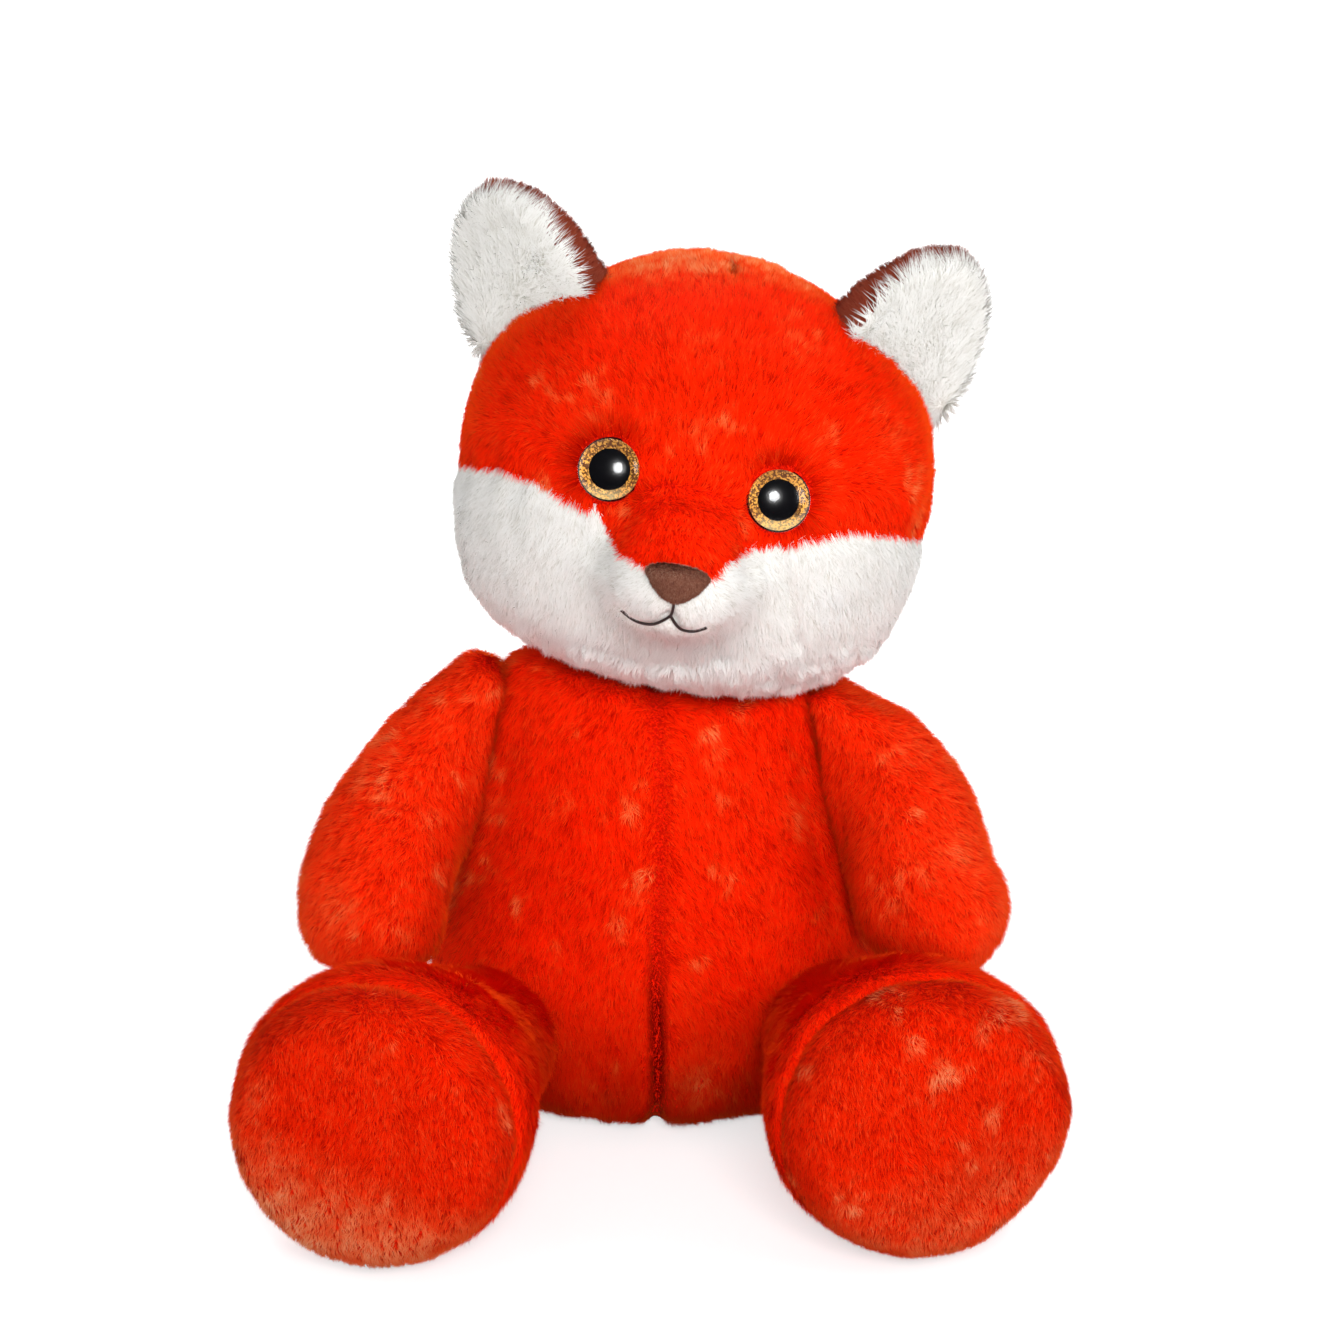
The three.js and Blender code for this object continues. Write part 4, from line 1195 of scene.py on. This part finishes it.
thread = Finish("mouth thread", Base_Color=(0.022, 0.008, 0.006, 1), Roughness=0.7)
thread.bump(thread.clouds(TWIST_SIZE), TWIST_DEPTH)
for number, path in enumerate(mouth_paths):
    curve = bpy.data.curves.new(f"mouth_thread_{number + 1}", "CURVE")
    curve.dimensions = "3D"
    curve.bevel_depth = THREAD_RADIUS
    curve.bevel_resolution = 3
    curve.use_fill_caps = True
    spline = curve.splines.new("NURBS")
    spline.points.add(len(path) - 1)
    for point, seen in zip(spline.points, path):
        nearest, normal, _, _ = face.find_nearest(seen)
        point.co = (*(nearest + normal * THREAD_LIFT), 1)
    spline.order_u = 3
    spline.use_endpoint_u = True
    curve.materials.append(thread.material)
    piece = bpy.data.objects.new(curve.name, curve)
    bpy.context.scene.collection.objects.link(piece)
    dress(piece, "nose")
    stitch = [(end - start).length for start, end in zip(path, path[1:])]
    print(curve.name, "is", round(sum(stitch) / MM), "mm long")

# %% [markdown]
# ## Studio
# The background of the photograph is plain white. The floor and the world are white to the camera,
# and so is what gloss shows of them behind the fox. In front of it they are dark to gloss, because
# the eyes reflect a dim room there. Both light the fox at a plain level, so that a colour renders
# about as written. Near the fox the floor keeps a part of its own shading, and with it the soft
# shadow.

# %% Whiten the floor and the world
FLOOR_SIZE = 12
FLOOR_COLOUR = (0.93, 0.93, 0.93, 1)
SHADOW_SHARE = 0.7
WORLD_LEVEL = 0.42
FLOOR_LEVEL = 2.1
DIM_FLOOR = (-0.5, -0.34)
DIM_WORLD = (0.0, 0.5)
WHITE = (1, 1, 1, 1)


def camera_ray(tree):
    return tree.add("ShaderNodeLightPath", output="Is Camera Ray")


def seen_directly(tree):
    """1 for rays from the camera, and for what it sees in gloss or through clear plastic."""
    kinds = ("Is Camera Ray", "Is Glossy Ray", "Is Transmission Ray")
    direct, glossy, transmitted = (tree.add("ShaderNodeLightPath", output=kind) for kind in kinds)
    return tree.maths("MAXIMUM", direct, tree.maths("MAXIMUM", glossy, transmitted))


def lit(tree, coordinate, dim):
    """1 to the camera. To other rays, 0 in front of the fox and 1 behind it."""
    place = tree.add("ShaderNodeTexCoord", output=coordinate)
    depth = tree.add("ShaderNodeSeparateXYZ", sockets={"Vector": place}, output="Y")
    return tree.maths("MAXIMUM", camera_ray(tree), tree.step(depth, *dim))


floor_material = bpy.data.materials.new("floor")
tree = Tree(floor_material)
tree.nodes.remove(tree.nodes["Principled BSDF"])
shaded = tree.add("ShaderNodeBsdfDiffuse", sockets={"Color": FLOOR_COLOUR})
level = FLOOR_LEVEL * lit(tree, "Object", DIM_FLOOR)
white = tree.add("ShaderNodeEmission", sockets={"Strength": level})
place = tree.add("ShaderNodeTexCoord", output="Object")
nearness = tree.add("ShaderNodeTexGradient", {"gradient_type": "SPHERICAL"}, {"Vector": place}, "Fac")
share = (1 - SHADOW_SHARE * tree.step(nearness, 0.1, 0.55)) * seen_directly(tree)
tree.feed(tree.nodes["Material Output"].inputs["Surface"],
          tree.add("ShaderNodeMixShader", sockets={0: share, 1: shaded, 2: white}))
floor_form = bmesh.new()
bmesh.ops.create_grid(floor_form, x_segments=1, y_segments=1, size=FLOOR_SIZE)
new_piece("floor", floor_form, floor_material)

world = bpy.data.worlds.new("studio")
bpy.context.scene.world = world
tree = Tree(world)
tree.nodes.remove(tree.nodes["Background"])
dim = tree.add("ShaderNodeBackground", sockets={"Color": WHITE, "Strength": WORLD_LEVEL})
level = lit(tree, "Generated", DIM_WORLD)
bright = tree.add("ShaderNodeBackground", sockets={"Color": WHITE, "Strength": level})
tree.feed(tree.nodes["World Output"].inputs["Surface"],
          tree.add("ShaderNodeMixShader", sockets={0: seen_directly(tree), 1: dim, 2: bright}))
print("the floor reaches", FLOOR_SIZE, "m each way")

# %% [markdown]
# ## Lamps
# A large round lamp before the fox, just above the camera, lights it softly and is the highlight in
# the eyes. One above and behind lights the ears and shoulders, and a weak one on each side lights
# the rims. Together they stay below the level at which the white pile would turn plain white.

# %% Hang the lamps
LAMPS = {
    "broad lamp": {"place": (0.2, -2.3, 1.1), "size": 0.8, "power": 43},
    "back lamp": {"place": (0.0, 1.2, 2.0), "size": 1.2, "power": 22},
    "left lamp": {"place": (2.1, -0.9, 0.8), "size": 1.2, "power": 15},
    "right lamp": {"place": (-2.2, 0.3, 0.9), "size": 1.2, "power": 8},
}
for name, settings in LAMPS.items():
    lamp = bpy.data.lights.new(name, "AREA")
    lamp.shape = "DISK"
    lamp.size = settings["size"]
    lamp.energy = settings["power"]
    piece = bpy.data.objects.new(name, lamp)
    piece.location = settings["place"]
    piece.rotation_euler = (TARGET - piece.location).to_track_quat("-Z", "Y").to_euler()
    bpy.context.scene.collection.objects.link(piece)
    print(name, settings["power"], "W")

bpy.context.scene.view_settings.view_transform = "Standard"
